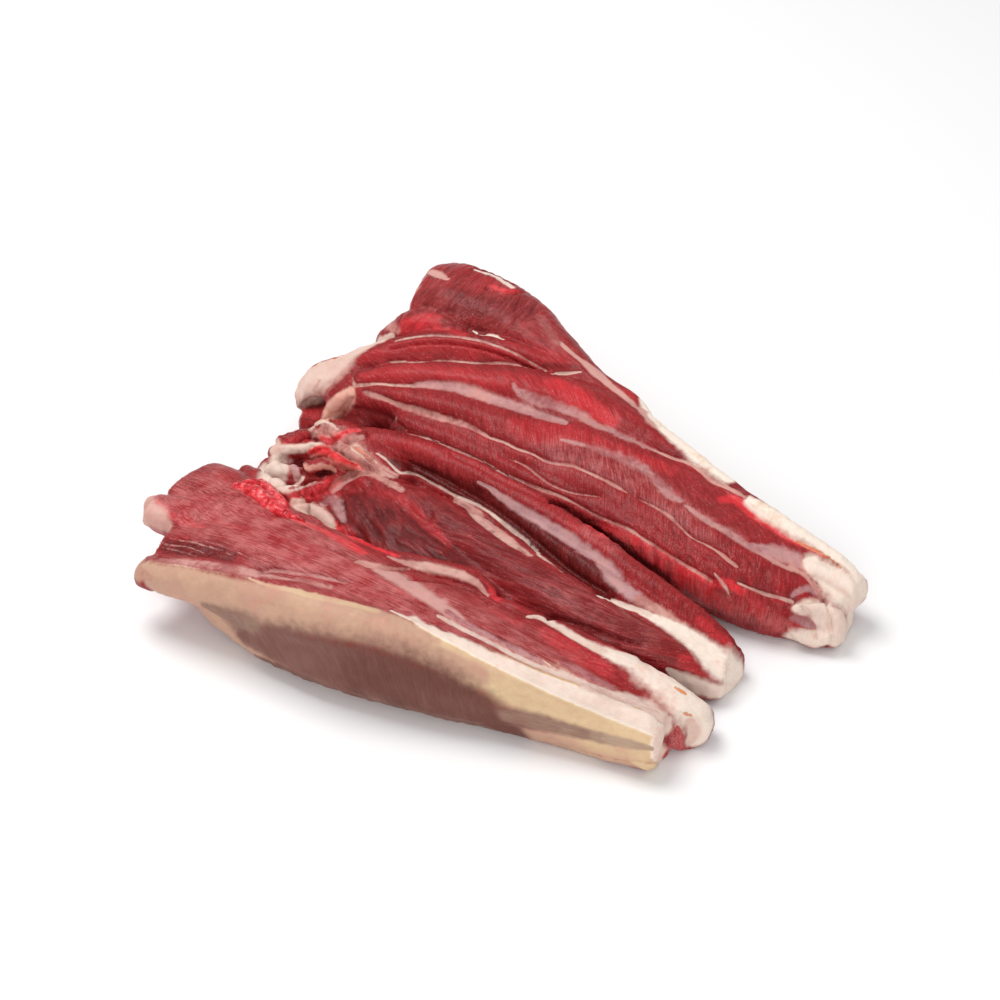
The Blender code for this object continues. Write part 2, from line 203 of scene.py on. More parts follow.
# thin membranes in grooves: warmth (0 lilac, 0.5 cream, 1 amber), cover, then points
SEAMS = {
    "back_knee_seam": (0.36, 0.88, (353, 379, 2.5), (355, 385, 4), (364, 385, 4), (380, 384, 3),
        (396, 386, 4), (413, 386, 4)),
    "back_wide_seam": (0.16, 0.93, (413, 386, 5), (426, 385, 9), (440, 386, 12), (455, 388, 14),
        (470, 392, 15), (486, 397, 14), (500, 402, 14), (515, 407, 13), (530, 412, 12), (548, 418, 10),
        (565, 423, 7)),
    "back_far_seam": (0.3, 0.92, (655, 451, 3.2), (672, 458, 3.2), (690, 464, 4), (702, 472, 5.6),
        (713, 481, 6.4), (724, 486, 4), (736, 492, 4), (746, 498, 3.2)),
    "back_second_seam": (0.27, 0.86, (364, 392, 3.2), (372, 395, 6.4), (388, 400, 4.8), (402, 406, 6.4),
        (418, 410, 8), (435, 416, 8), (450, 420, 7.2), (465, 425, 6.4), (478, 431, 4.8), (490, 438, 3.2)),
    "back_second_thread": (0.32, 0.88, (490, 438, 3.2), (505, 443, 3.2), (517, 449, 3.2), (532, 454, 2.4),
        (545, 461, 3.6), (557, 464, 3.2), (572, 466, 4.4), (582, 470, 3.2), (602, 479, 3.2), (615, 486, 4.4),
        (627, 493, 2)),
    "back_near_thread": (0.33, 0.8, (410, 434, 1.6), (425, 438, 2), (440, 443, 2), (455, 450, 2.4),
        (485, 463, 2.4), (500, 472, 2.8), (520, 481, 3.6), (540, 489, 4), (560, 496, 3.2), (576, 504, 2.4),
        (600, 517, 2.8), (630, 530, 3.2), (645, 540, 3.2), (660, 549, 3.2), (682, 563, 3.2), (697, 572, 4),
        (711, 581, 4.8)),
    "back_third_thread": (0.22, 0.7, (507, 458, 1.6), (525, 466, 2.4), (540, 478, 2.8), (553, 486, 2.8),
        (572, 493, 2), (600, 497, 1.6)),
    "back_third_seam": (0.25, 0.8, (638, 499, 1.6), (656, 508, 2.8), (670, 517, 4), (682, 529, 2.8),
        (692, 538, 2), (706, 545, 2), (718, 552, 3.2), (728, 560, 4.8), (737, 567, 4)),
    "back_fold_thread": (0.4, 0.7, (395, 341, 2), (410, 338, 2.4), (430, 336, 2.8), (455, 337, 2.8),
        (475, 340, 2.8), (490, 344, 2.8), (505, 349, 2.8), (518, 355, 2.8), (532, 363, 2.4), (546, 371, 2.4)),
    "back_upper_thread": (0.36, 0.88, (388, 362, 1.6), (405, 362, 3.6), (420, 362, 3.2), (435, 361, 2.4),
        (450, 361, 2.4), (465, 363, 4), (480, 364, 3.6), (500, 363, 3.2), (515, 365, 3.2), (527, 368, 1.6)),
    "back_near_end_thread": (0.35, 0.9, (738, 583, 2.5), (752, 589, 3.5), (765, 594, 4), (780, 598, 4),
        (792, 602, 5)),
    "shin_ragged_edge": (0.42, 0.92, (377, 454, 2.4), (385, 459, 2.8), (392, 466, 2.8), (400, 473, 2.8),
        (408, 473, 3.5), (420, 476, 2.8), (430, 482, 2.8), (440, 487, 3.1), (452, 494, 3.1), (465, 500, 3.5),
        (475, 504, 3.5), (487, 511, 3.5), (497, 518, 4.2), (508, 527, 4.9), (520, 537, 5.6), (532, 548, 5.6),
        (542, 557, 4.2), (552, 564, 3.1), (562, 572, 2.1)),
    "shin_ragged_branch": (0.35, 0.85, (462, 505, 1.8), (470, 513, 4.2), (478, 521, 5.4), (488, 529, 3.6),
        (500, 538, 3), (512, 546, 3), (525, 553, 3.6)),
    "shin_low_thread": (0.45, 1, (598, 596, 3), (612, 601, 5), (625, 606, 7), (638, 610, 7), (650, 615, 8)),
    "shin_oval_fascia": (0.28, 0.85, (330, 490, 5), (337, 482, 7), (347, 477, 9), (360, 473, 9),
        (375, 476, 9), (390, 483, 8), (402, 491, 6)),
    "shin_roll_edge": (0.45, 0.8, (300, 488, 4), (315, 482, 4)),
    "heel_rim_thread": (0.2, 0.85, (256, 576, 3), (272, 571, 4), (290, 573, 4.5), (312, 576, 5),
        (332, 580, 4), (346, 584, 2)),
    "heel_lilac_thread": (0.12, 0.85, (448, 612, 8), (462, 622, 7), (480, 632, 7), (500, 642, 7),
        (520, 652, 7), (538, 660, 5), (550, 667, 3)),
    "heel_cream_thread": (0.42, 0.95, (438, 616, 4), (455, 625, 7), (475, 635, 7), (495, 645, 7),
        (515, 656, 8), (535, 665, 9), (555, 673, 11), (575, 681, 13), (595, 689, 15), (618, 697, 18),
        (642, 704, 20), (662, 712, 18)),
    "heel_lip_torn": (0.33, 0.95, (388, 557, 3), (400, 562, 6), (415, 565, 10), (435, 569, 12),
        (455, 573, 11), (470, 579, 9), (480, 586, 7), (487, 596, 4)),
    "heel_lip_thread": (0.3, 0.9, (355, 562, 2.5), (375, 566, 4), (395, 569, 4), (410, 569, 3)),
    "heel_inner_edge": (0.42, 1, (527, 617, 3), (538, 617, 5), (548, 622, 8), (560, 628, 10), (573, 636, 10),
        (587, 644, 11), (602, 651, 13)),
    "far_high": (0.3, 0.9, (150, 494, 4), (250, 540, 4), (360, 590, 5), (450, 612, 4), (560, 632, 4),
        (690, 640, 3)),
    "far_low": (0.2, 0.8, (190, 530, 3), (280, 590, 5), (380, 655, 5), (470, 700, 5), (560, 712, 4)),
    "far_fork": (0.25, 0.8, (380, 600, 3), (430, 640, 4), (500, 668, 4), (590, 676, 3)),
    "knee_end_high": (0.3, 0.9, (90, 500, 4), (130, 560, 5), (190, 610, 4)),
    "knee_end_low": (0.25, 0.8, (250, 590, 4), (300, 640, 5), (350, 665, 4)),
}

# wide fat, fascia and tendon: warmth, cover, then points
FAT_AND_FASCIA = {
    "far_wall_fat": (0.5, 1, (250, 552, 10), (300, 588, 18), (350, 606, 16), (400, 612, 8)),
    "far_corner_fat": (0.48, 1, (600, 650, 14), (640, 668, 24), (672, 674, 14)),
    "far_foot_fat": (0.63, 0.9, (420, 700, 12), (480, 722, 18), (560, 735, 16)),
    "knee_end_fat": (0.5, 1, (95, 505, 10), (120, 520, 16), (150, 520, 12)),
    "knee_foot_fat": (0.57, 0.9, (400, 660, 8), (470, 650, 14), (550, 650, 12), (620, 650, 8)),
    "heel_foot_tan": (0.73, 1, (160, 592, 18), (200, 620, 26), (235, 650, 24), (290, 684, 20), (360, 712, 18),
        (430, 728, 16), (500, 742, 14), (560, 752, 12), (640, 766, 12)),
    "back_lilac_wedge": (0.14, 0.8, (513, 384, 4), (518, 391, 9), (530, 397, 13), (546, 403, 15),
        (562, 409, 13), (580, 416, 12), (600, 427, 10), (620, 435, 8), (640, 445, 6), (655, 451, 5)),
    "back_lilac_band": (0.14, 0.8, (561, 440, 3), (575, 443, 6), (590, 447, 7), (604, 452, 11),
        (620, 457, 12), (640, 467, 12), (650, 475, 9), (660, 485, 11), (670, 495, 11), (680, 501, 6)),
    "back_lilac_tail": (0.18, 0.9, (686, 506, 4), (695, 513, 7), (706, 520, 8), (718, 527, 9), (732, 535, 10),
        (746, 545, 9), (760, 553, 8), (775, 562, 7), (790, 570, 6)),
    "back_peach_fleck": (0.5, 1, (473, 331, 2.1), (481, 335, 3.5), (492, 336, 5.6), (503, 339, 3.5)),
    "back_bright_fleck": (0.38, 1, (552, 374, 3), (562, 374, 4.8), (572, 373, 3.6), (581, 372, 1.8)),
    "back_far_band": (0.25, 1, (555, 338, 3), (561, 344, 5.5), (570, 352, 5.5), (580, 360, 5), (588, 366, 9),
        (597, 373, 12), (605, 381, 8), (614, 389, 7), (623, 396, 7), (632, 404, 7), (641, 411, 10),
        (648, 417, 13), (656, 426, 11), (664, 433, 8), (674, 441, 7)),
    "back_far_fat_knee": (0.52, 1, (645, 401, 10), (652, 411, 16), (660, 422, 16), (672, 435, 16),
        (690, 447, 20), (706, 458, 20), (720, 468, 20), (730, 476, 14)),
    "back_far_fat_tip": (0.52, 1, (750, 501, 14), (765, 509, 22), (780, 517, 24), (795, 525, 24),
        (810, 534, 22), (825, 544, 20), (840, 555, 20), (853, 566, 20), (862, 577, 16)),
    "back_silver_sheet": (0.12, 0.9, (752, 546, 8), (764, 549, 14), (778, 554, 20), (792, 560, 20),
        (806, 566, 16)),
    "back_knob_fat": (0.43, 1, (797, 608, 12), (812, 610, 24), (826, 616, 36), (838, 624, 44),
        (842, 631, 36)),
    "back_knee_white": (0.3, 1, (430, 272, 6), (438, 275, 9), (448, 279, 4)),
    "back_knee_peach": (0.45, 1, (476, 270, 4), (489, 274, 7), (501, 280, 8), (512, 287, 6)),
    "back_knee_smear": (0.2, 0.45, (540, 318, 8), (548, 330, 12), (556, 342, 10)),
    "back_gristle": (0.39, 1, (300, 384, 32), (312, 376, 38), (325, 369, 38), (338, 362, 30), (352, 352, 20),
        (370, 345, 12), (392, 336, 8)),
    "back_fat_lump": (0.87, 1, (350, 391, 12), (342, 401, 24), (332, 411, 18), (324, 421, 8)),
    "back_knob_side": (0.3, 0.8, (390, 325, 10), (398, 330, 8)),
    "shin_ragged_membrane": (0.3, 0.94, (455, 500, 5), (470, 509, 9), (485, 520, 11), (500, 532, 11),
        (515, 545, 9), (530, 556, 6)),
    "shin_pale_band": (0.11, 0.97, (478, 482, 3), (490, 488, 5), (500, 496, 8), (512, 504, 10),
        (525, 512, 11), (540, 521, 13), (555, 530, 14), (570, 540, 15), (585, 552, 15), (600, 562, 15),
        (612, 575, 15), (625, 588, 15), (640, 600, 15)),
    "shin_pale_band_tip": (0.3, 0.9, (640, 600, 15), (655, 608, 14), (670, 618, 12), (685, 627, 10)),
    "shin_tip_cream": (0.5, 1, (640, 612, 6), (655, 618, 10), (672, 626, 16), (686, 634, 22), (700, 646, 28),
        (714, 659, 36), (727, 669, 36), (738, 675, 26)),
    "shin_tip_low": (0.45, 1, (668, 669, 6), (684, 680, 18), (700, 688, 22), (716, 692, 20), (734, 690, 16)),
    "shin_oval_silver": (0.1, 0.8, (322, 505, 6), (331, 498, 11), (338, 508, 11), (344, 520, 8)),
    "shin_tangle": (0.34, 0.85, (338, 440, 8), (350, 449, 13), (362, 460, 13), (378, 469, 11), (396, 476, 6)),
    "shin_peach_fat": (0.37, 1, (294, 503, 12), (306, 508, 20), (320, 516, 20), (332, 527, 12)),
    "heel_rim_membrane": (0.24, 0.85, (160, 560, 6), (180, 562, 9), (200, 564, 11), (225, 568, 11),
        (250, 572, 12), (275, 576, 8), (300, 581, 8), (330, 588, 6)),
    "heel_foot_left": (0.75, 1, (150, 584, 16), (170, 596, 24), (190, 610, 28), (212, 628, 28),
        (232, 644, 22)),
    "heel_side_blend": (0.74, 1, (170, 586, 20), (195, 592, 30), (225, 603, 34), (255, 612, 36),
        (290, 619, 34), (330, 627, 30), (370, 635, 28), (400, 645, 28), (440, 662, 28), (470, 681, 28)),
    "heel_side_fill": (0.745, 1, (186, 600, 16), (206, 611, 24), (224, 622, 26), (242, 633, 24)),
    "heel_rim_fat": (0.745, 1, (138, 570, 22), (160, 574, 24), (180, 577, 26), (200, 582, 26), (225, 588, 26),
        (250, 592, 24), (275, 597, 24), (300, 603, 26), (325, 608, 28), (350, 611, 28), (370, 614, 26),
        (390, 621, 26), (410, 631, 28), (430, 640, 30), (450, 651, 34)),
    "heel_tip_side": (0.76, 1, (500, 729, 18), (532, 736, 24), (560, 741, 26), (590, 747, 24),
        (622, 755, 20)),
    "heel_rim_fat_tip": (0.66, 1, (450, 651, 34), (470, 664, 44), (490, 677, 52), (512, 688, 64),
        (540, 700, 72), (570, 712, 80), (600, 725, 84), (630, 738, 80), (652, 746, 50)),
    "heel_rim_ivory": (0.45, 1, (392, 611, 4), (410, 618, 9), (430, 628, 13), (460, 642, 15), (490, 657, 17),
        (520, 670, 20), (550, 684, 22), (580, 696, 26), (610, 707, 30), (640, 719, 30), (655, 728, 22)),
    "heel_rim_yellow": (0.73, 1, (235, 588, 12), (275, 596, 14), (340, 615, 16), (380, 629, 16),
        (420, 646, 20), (450, 660, 22), (480, 676, 24)),
    "heel_tip_yellow": (0.64, 1, (500, 690, 26), (540, 704, 26), (580, 717, 22), (620, 732, 18),
        (648, 742, 12)),
    "heel_lilac_wedge": (0.23, 1, (358, 562, 4), (370, 566, 10), (385, 572, 16), (402, 581, 19),
        (420, 592, 19), (435, 602, 17), (448, 612, 14), (462, 622, 9)),
    "heel_inner_fat": (0.48, 1, (602, 651, 12), (622, 657, 22), (642, 665, 30), (660, 677, 38),
        (678, 690, 46), (692, 702, 50), (702, 718, 44), (704, 732, 28), (694, 740, 18)),
    "heel_inner_mauve": (0.08, 0.5, (566, 664, 10), (582, 672, 14), (600, 682, 14), (612, 689, 8)),
    "heel_tip_ring": (0.42, 1, (668, 726, 12), (662, 735, 18), (658, 746, 20), (662, 758, 16),
        (671, 764, 10)),
    "heel_tab": (0.33, 1, (136, 503, 24), (144, 512, 32), (156, 519, 30), (166, 526, 18)),
    "heel_corner_brown": (0.745, 0.9, (133, 565, 8), (140, 572, 12), (150, 578, 8)),
    "joint_ring_band": (0.41, 1, (274, 450, 12), (285, 449, 12), (300, 448, 12), (315, 446, 10),
        (330, 445, 8), (342, 443, 5)),
    "joint_ring_block": (0.37, 1, (276, 444, 10), (276, 456, 12)),
    "joint_ring_fat": (0.43, 1, (264, 470, 16), (270, 463, 22), (279, 461, 18), (278, 472, 24),
        (270, 480, 20), (279, 485, 20), (290, 487, 10), (298, 486, 7)),
    "joint_ring_lilac": (0.08, 1, (291, 461, 6), (295, 469, 9), (297, 478, 8)),
    "joint_curl": (0.46, 1, (282, 484, 4), (290, 487, 4), (299, 483, 4), (304, 476, 4)),
    "joint_ground": (0.33, 0.85, (312, 432, 10), (326, 436, 18), (340, 444, 24), (352, 452, 26),
        (366, 462, 20), (384, 472, 12)),
    "joint_top_strand": (0.4, 0.95, (310, 430, 4), (315, 425, 4), (323, 421, 4), (331, 424, 4),
        (338, 430, 3)),
    "joint_tangle_top": (0.3, 0.8, (322, 428, 8), (332, 431, 10), (342, 438, 10), (352, 440, 9),
        (362, 437, 6)),
    "joint_tangle_far": (0.3, 0.75, (335, 452, 6), (345, 448, 10), (352, 455, 12), (364, 462, 10),
        (380, 468, 7), (395, 476, 5)),
    "joint_tangle_mid": (0.86, 0.35, (312, 458, 8), (322, 456, 10), (334, 460, 10), (346, 466, 10),
        (358, 470, 8)),
    "joint_tangle_low": (0.88, 0.85, (303, 466, 7), (312, 468, 8), (322, 466, 7), (334, 470, 6)),
    "joint_peach": (0.9, 0.8, (355, 448, 6), (365, 455, 8), (373, 463, 7)),
    "joint_roll_sheen": (0.2, 0.8, (290, 488, 3), (305, 486, 4), (322, 482, 3)),
    "joint_dark_curl": (0.2, 0.0, (316, 440, 7), (326, 442, 8), (336, 443, 5)),
    "joint_hole": (0.2, 0.0, (317, 474, 5), (325, 473, 7), (333, 473, 5)),
    "joint_ring_hollow": (0.2, 0, (297, 458, 5), (302, 466, 10), (305, 474, 7)),
    "knob_pink_fleck": (0.3, 1, (313, 391, 2.5), (317, 385, 4), (320, 380, 2.5)),
    "knob_red_rim": (0.94, 0.75, (308, 363, 3), (320, 358, 3), (335, 352, 3)),
    "knob_grey": (0.4, 1, (304, 382, 10), (308, 377, 10)),
    "knob_nub": (0.2, 0.0, (332, 394, 8), (341, 386, 10), (350, 376, 12)),
    "back_silver_white": (0.47, 1, (806, 561, 10), (818, 567, 26), (830, 576, 36), (842, 586, 44),
        (852, 594, 44), (862, 592, 28)),
    "back_silver_side": (0.27, 0.9, (790, 567, 6), (803, 574, 8), (814, 586, 8), (821, 600, 8)),
    "back_knob_foot": (0.45, 1, (792, 638, 14), (806, 638, 22), (822, 640, 24), (836, 640, 20)),
    "back_lobe_lilac": (0.06, 0.9, (794, 618, 8), (803, 621, 12), (813, 626, 8)),
    "back_amber_streak": (0.97, 0.9, (796, 541, 1.5), (806, 546, 3), (818, 552, 3), (830, 559, 2.5),
        (841, 568, 1.5)),
    "heel_tip_bulge": (0.4, 1, (690, 722, 14), (694, 731, 18), (690, 740, 14)),
    "heel_tip_lip": (0.4, 1, (638, 703, 12), (654, 712, 16), (668, 721, 12)),
    "heel_core_bare": (0.3, 0, (677, 729, 6), (678, 736, 10), (678, 743, 11), (675, 751, 10), (671, 757, 6)),
    "heel_amber_pit": (1, 1, (676, 688, 3), (681, 691, 5), (686, 694, 3)),
    "heel_amber_pit_low": (0.98, 1, (684, 713, 3), (688, 715, 4), (692, 716, 2.5)),
    "heel_tip_foot": (0.63, 1, (636, 764, 12), (648, 768, 16), (658, 768, 16)),
    "back_knob_edge": (0.44, 1, (856, 604, 22), (852, 616, 24), (851, 628, 22), (846, 640, 20)),
    "back_end_sheen": (0.07, 0.75, (792, 596, 5), (801, 590, 8), (811, 590, 8), (816, 597, 4)),
    "joint_vivid_bare": (0.3, 0, (310, 451, 4), (320, 449, 7), (330, 452, 8), (338, 457, 7), (347, 461, 5),
        (357, 465, 3)),
    "joint_vivid_bare_top": (0.3, 0, (322, 437, 3), (331, 440, 5), (338, 437, 6), (346, 432, 5),
        (356, 431, 3)),
    "heel_ragged_thread_1": (0.2, 0.78, (156, 541, 1.2), (170, 545, 2), (188, 547, 1.5), (204, 553, 1.2)),
    "heel_ragged_thread_2": (0.2, 0.78, (160, 547, 1.2), (178, 551, 2), (196, 556, 1.5)),
    "heel_ragged_thread_3": (0.2, 0.78, (188, 541, 1.2), (203, 545, 2), (220, 550, 1.5), (236, 557, 1.2)),
    "heel_ragged_thread_4": (0.2, 0.78, (206, 541, 1.2), (222, 546, 1.6), (240, 553, 1.4), (256, 561, 1.2)),
    "heel_ragged_thread_5": (0.2, 0.78, (170, 538, 1.2), (184, 541, 1.6), (198, 542, 1.2)),
    # painted highlight: a lighter cream band along the top edge of the rim where the light falls
    "heel_rim_light": (0.68, 1, (250, 579, 2), (270, 586, 5), (295, 591, 8), (322, 598, 9), (350, 604, 9),
        (378, 611, 8)),
    "back_tip_knot": (0.34, 0.92, (714, 573, 1.5), (721, 581, 4), (726, 588, 4), (730, 596, 1.5)),
    "shin_oval_veil": (0.22, 0.95, (334, 492, 7), (344, 482, 11), (356, 476, 10), (370, 474, 6)),
}

# browned fascia over the fat: tone, then points
BROWN_FASCIA = {
    "heel_side_left": (0.7, (206, 607, 10), (226, 616, 20), (250, 628, 34)),
    "heel_side_brown": (0.42, (245, 636, 24), (290, 650, 52), (330, 664, 66)),
    "heel_side_dark": (0.22, (330, 664, 66), (370, 680, 76), (410, 694, 80), (450, 706, 66), (490, 722, 46),
        (515, 733, 22)),
    "heel_foot_brown": (0.45, (262, 660, 14), (300, 684, 18), (350, 706, 18), (400, 720, 18), (450, 731, 14),
        (490, 738, 10)),
    "heel_tip_streak": (0.72, (504, 717, 24), (535, 722, 19), (568, 730, 15), (600, 738, 11)),
    "heel_tip_streak_end": (0.98, (592, 736, 12), (615, 741, 11), (640, 746, 8), (652, 749, 4)),
}

# tone of the red meat, 0 near black to 1 vivid red, then points; some strokes are painted shade in hollows and
# gaps, and painted light on the near wall in the valley
MEAT_TONES = {
    "back_strip_bright": (0.65, (362, 377, 10), (400, 373, 20), (440, 372, 20), (480, 377, 20),
        (520, 380, 20), (548, 386, 22)),
    "back_strip_upper": (0.62, (362, 358, 10), (400, 351, 20), (440, 348, 22), (480, 352, 20),
        (515, 362, 12)),
    "back_flap_bright": (0.8, (405, 326, 14), (428, 320, 20), (448, 328, 14), (463, 334, 8)),
    "back_vivid": (0.82, (555, 383, 18), (572, 395, 26), (590, 406, 22), (612, 420, 16)),
    "back_strip_second": (0.48, (370, 388, 8), (420, 397, 14), (460, 405, 14), (500, 412, 10)),
    "back_strip_red": (0.67, (515, 425, 18), (540, 432, 28), (570, 434, 22), (600, 444, 14), (640, 458, 14),
        (670, 470, 14)),
    "back_dark_left": (0.34, (352, 412, 18), (372, 420, 24), (398, 428, 18)),
    # painted shade in the hollow under the gristle knob
    "back_dark_hollow": (0.1, (304, 403, 8), (314, 401, 12), (322, 402, 10)),
    "back_fat_rim_red": (0.9, (722, 500, 8), (735, 500, 10), (750, 513, 8), (765, 523, 8), (780, 532, 8),
        (792, 541, 6), (808, 547, 5), (822, 556, 4)),
    "back_near_tip_red": (0.88, (690, 569, 5), (712, 583, 8), (727, 583, 10), (742, 592, 9)),
    # painted light: the near wall down in the valley made brighter against the shade that falls there
    "back_near_wall": (0.85, (590, 528, 12), (612, 538, 16), (640, 552, 22), (670, 572, 24), (700, 592, 26),
        (722, 606, 18)),
    "back_near_wall_tip": (0.62, (745, 605, 18), (770, 618, 20), (790, 630, 18)),
    "back_strip_low_right": (0.5, (740, 575, 14), (765, 583, 18), (790, 592, 14)),
    "back_knee_dark": (0.28, (425, 297, 18), (455, 303, 30), (490, 309, 36), (522, 310, 26)),
    "back_knee_dark_low": (0.34, (448, 320, 14), (478, 325, 18), (510, 328, 14)),
    "back_knee_crease": (0.85, (492, 286, 5), (505, 291, 6), (518, 291, 5)),
    "back_knee_right": (0.6, (505, 345, 16), (540, 354, 18), (570, 360, 10)),
    "back_knee_shadow": (0.34, (545, 365, 4), (560, 366, 6), (575, 367, 5)),
    "back_mauve": (0.5, (610, 395, 10), (640, 420, 22), (665, 445, 16)),
    "back_far_rim": (0.62, (615, 390, 8), (632, 394, 10), (643, 404, 8)),
    "shin_peach_red": (1.0, (335, 525, 9), (350, 535, 11), (370, 545, 6), (398, 556, 4)),
    "shin_oval_dark": (0.18, (350, 500, 24), (370, 515, 38), (400, 532, 48), (440, 548, 44), (475, 560, 22)),
    "shin_oval_ridge": (0.62, (402, 497, 8), (412, 508, 10), (422, 520, 10), (435, 532, 9), (450, 545, 6)),
    "shin_long_belly": (0.3, (430, 500, 16), (455, 520, 26), (490, 550, 42), (530, 580, 44), (570, 605, 44),
        (610, 628, 36), (650, 645, 28), (680, 655, 18)),
    "shin_wedge": (0.62, (684, 660, 14), (700, 671, 12), (712, 680, 6)),
    "shin_dark_strip": (0.12, (395, 462, 8), (430, 473, 14), (460, 487, 18), (490, 500, 18), (520, 524, 22),
        (550, 550, 26), (580, 570, 26), (610, 588, 20)),
    "shin_ridge_red": (0.57, (372, 437, 8), (420, 447, 12), (460, 459, 14), (500, 476, 14), (540, 500, 14),
        (570, 520, 13), (600, 545, 14), (630, 566, 15), (660, 590, 15), (690, 612, 12)),
    # painted shade in the gap along the valley between the shin and the shank
    "shin_gap_dark": (0.2, (560, 504, 6), (585, 520, 8), (610, 538, 9), (640, 560, 9), (668, 580, 9)),
    "shin_tip_red": (0.72, (700, 620, 10), (715, 634, 9), (730, 645, 6)),
    "heel_mauve_thread": (0.35, (430, 624, 4), (455, 635, 4), (480, 646, 4), (505, 656, 4)),
    "heel_lip_red": (0.8, (491, 591, 8), (496, 600, 8)),
    "heel_lip_meat": (0.55, (405, 578, 8), (430, 586, 14), (460, 598, 18), (490, 612, 14), (520, 625, 10)),
    "heel_inner_red": (0.68, (545, 632, 12), (565, 645, 18), (585, 657, 20), (606, 671, 14)),
    "heel_tip_core": (0.6, (678, 726, 6), (679, 734, 9), (679, 742, 11), (677, 750, 9), (672, 756, 5)),
    "heel_corner_red": (0.4, (131, 558, 6), (142, 556, 6), (152, 550, 6)),
    "heel_ragged_dark": (0.22, (166, 545, 12), (185, 549, 18), (205, 551, 18), (232, 556, 10)),
    "heel_knee_bright": (0.88, (155, 503, 8), (170, 513, 9), (186, 521, 9), (202, 527, 5)),
    "heel_ear": (0.55, (210, 478, 18), (226, 480, 20)),
    "heel_top_red": (0.56, (190, 505, 30), (240, 520, 40), (290, 545, 40), (350, 575, 34), (400, 595, 20)),
    "joint_ring_red": (0.66, (282, 443, 7), (294, 441, 8), (306, 436, 8)),
    "joint_ring_maroon": (0.42, (297, 458, 7), (302, 466, 12), (305, 474, 8)),
    "joint_curl_dark": (0.12, (316, 440, 8), (326, 442, 9), (336, 443, 6)),
    "joint_roll": (0.82, (284, 494, 12), (300, 496, 14), (320, 491, 13), (338, 481, 8)),
    # painted shade in the small hole of the torn joint
    "joint_hole_dark": (0.08, (317, 474, 6), (325, 473, 8), (333, 473, 6)),
    "joint_vivid": (1, (308, 451, 6), (320, 449, 10), (332, 453, 12), (340, 458, 10), (350, 463, 8),
        (362, 468, 6)),
    "joint_vivid_top": (1, (320, 437, 6), (331, 440, 9), (338, 437, 10), (346, 432, 9), (358, 431, 6)),
    "joint_strip": (0.92, (278, 511, 6), (300, 521, 6), (322, 530, 10), (342, 540, 12), (362, 552, 8)),
    "knob_flap": (0.55, (299, 412, 10), (309, 416, 16), (318, 420, 10)),
    # painted shade in the hollow under the gristle knob
    "knob_hollow": (0.08, (303, 404, 9), (312, 401, 14), (322, 401, 12)),
    "knob_nub": (0.42, (333, 393, 10), (342, 386, 12)),
    "shin_ridge_low": (0.42, (615, 556, 10), (640, 574, 15), (665, 594, 15), (690, 612, 12)),
}

# creases between muscles: depth in millimetres, then points
CREASES = {
    "back_under_near_thread": (1, (452, 455, 3), (480, 468, 4), (510, 484, 5), (540, 499, 5), (565, 509, 4)),
    "back_foot": (0.8, (585, 525, 4), (615, 545, 5), (645, 566, 6), (675, 590, 5)),
    "shin_over_oval": (1, (372, 462, 3), (395, 476, 4), (425, 487, 4), (455, 501, 3)),
    "shin_ridge_foot": (1.2, (400, 458, 3), (450, 482, 4), (510, 520, 5), (570, 570, 5), (605, 592, 4)),
    "heel_back": (1.4, (330, 548, 4), (370, 566, 4), (420, 572, 4), (480, 590, 5), (520, 612, 6),
        (580, 625, 5), (640, 645, 4)),
    "flap_foot": (1.6, (392, 347, 3), (420, 343, 3), (460, 344, 3), (500, 355, 3), (535, 370, 2)),
    "top_muscle_foot": (0.6, (440, 312, 4), (470, 328, 5), (505, 336, 4), (545, 352, 4)),
    "rim_crease": (1.4, (486, 288, 3), (505, 294, 4), (522, 293, 3)),
    "dark_pocket": (0.8, (352, 408, 5), (372, 412, 6), (392, 420, 5), (405, 428, 3)),
    "lip_foot": (1.3, (410, 578, 3), (440, 584, 3), (470, 590, 3), (490, 604, 3)),
    "knob_hollow": (4, (306, 404, 8), (314, 402, 10), (322, 402, 8)),
    "ring_hollow": (2.4, (299, 462, 5), (303, 471, 6)),
    "curl_hollow": (2.4, (317, 440, 5), (326, 442, 6), (334, 443, 4)),
    "roll_hole": (2.4, (318, 474, 4), (326, 473, 5), (332, 473, 4)),
    "roll_foot": (1.4, (284, 501, 3), (300, 503, 3), (322, 499, 3)),
    "clot_far_foot": (1.4, (260, 481, 3), (275, 491, 3), (288, 501, 3)),
    "lump_foot": (1.4, (352, 398, 3), (344, 410, 4), (334, 420, 3)),
    "lobe_left": (1.5, (802, 606, 3), (808, 614, 4), (812, 626, 4), (816, 640, 3)),
    "lobe_right": (1.8, (826, 600, 3), (830, 610, 4), (829, 624, 4), (833, 640, 3)),
    "lobe_top": (1.4, (797, 601, 3), (812, 602, 3), (826, 600, 3)),
    "sheet_foot": (0.8, (812, 580, 3), (820, 592, 4), (828, 602, 4), (842, 608, 4)),
}

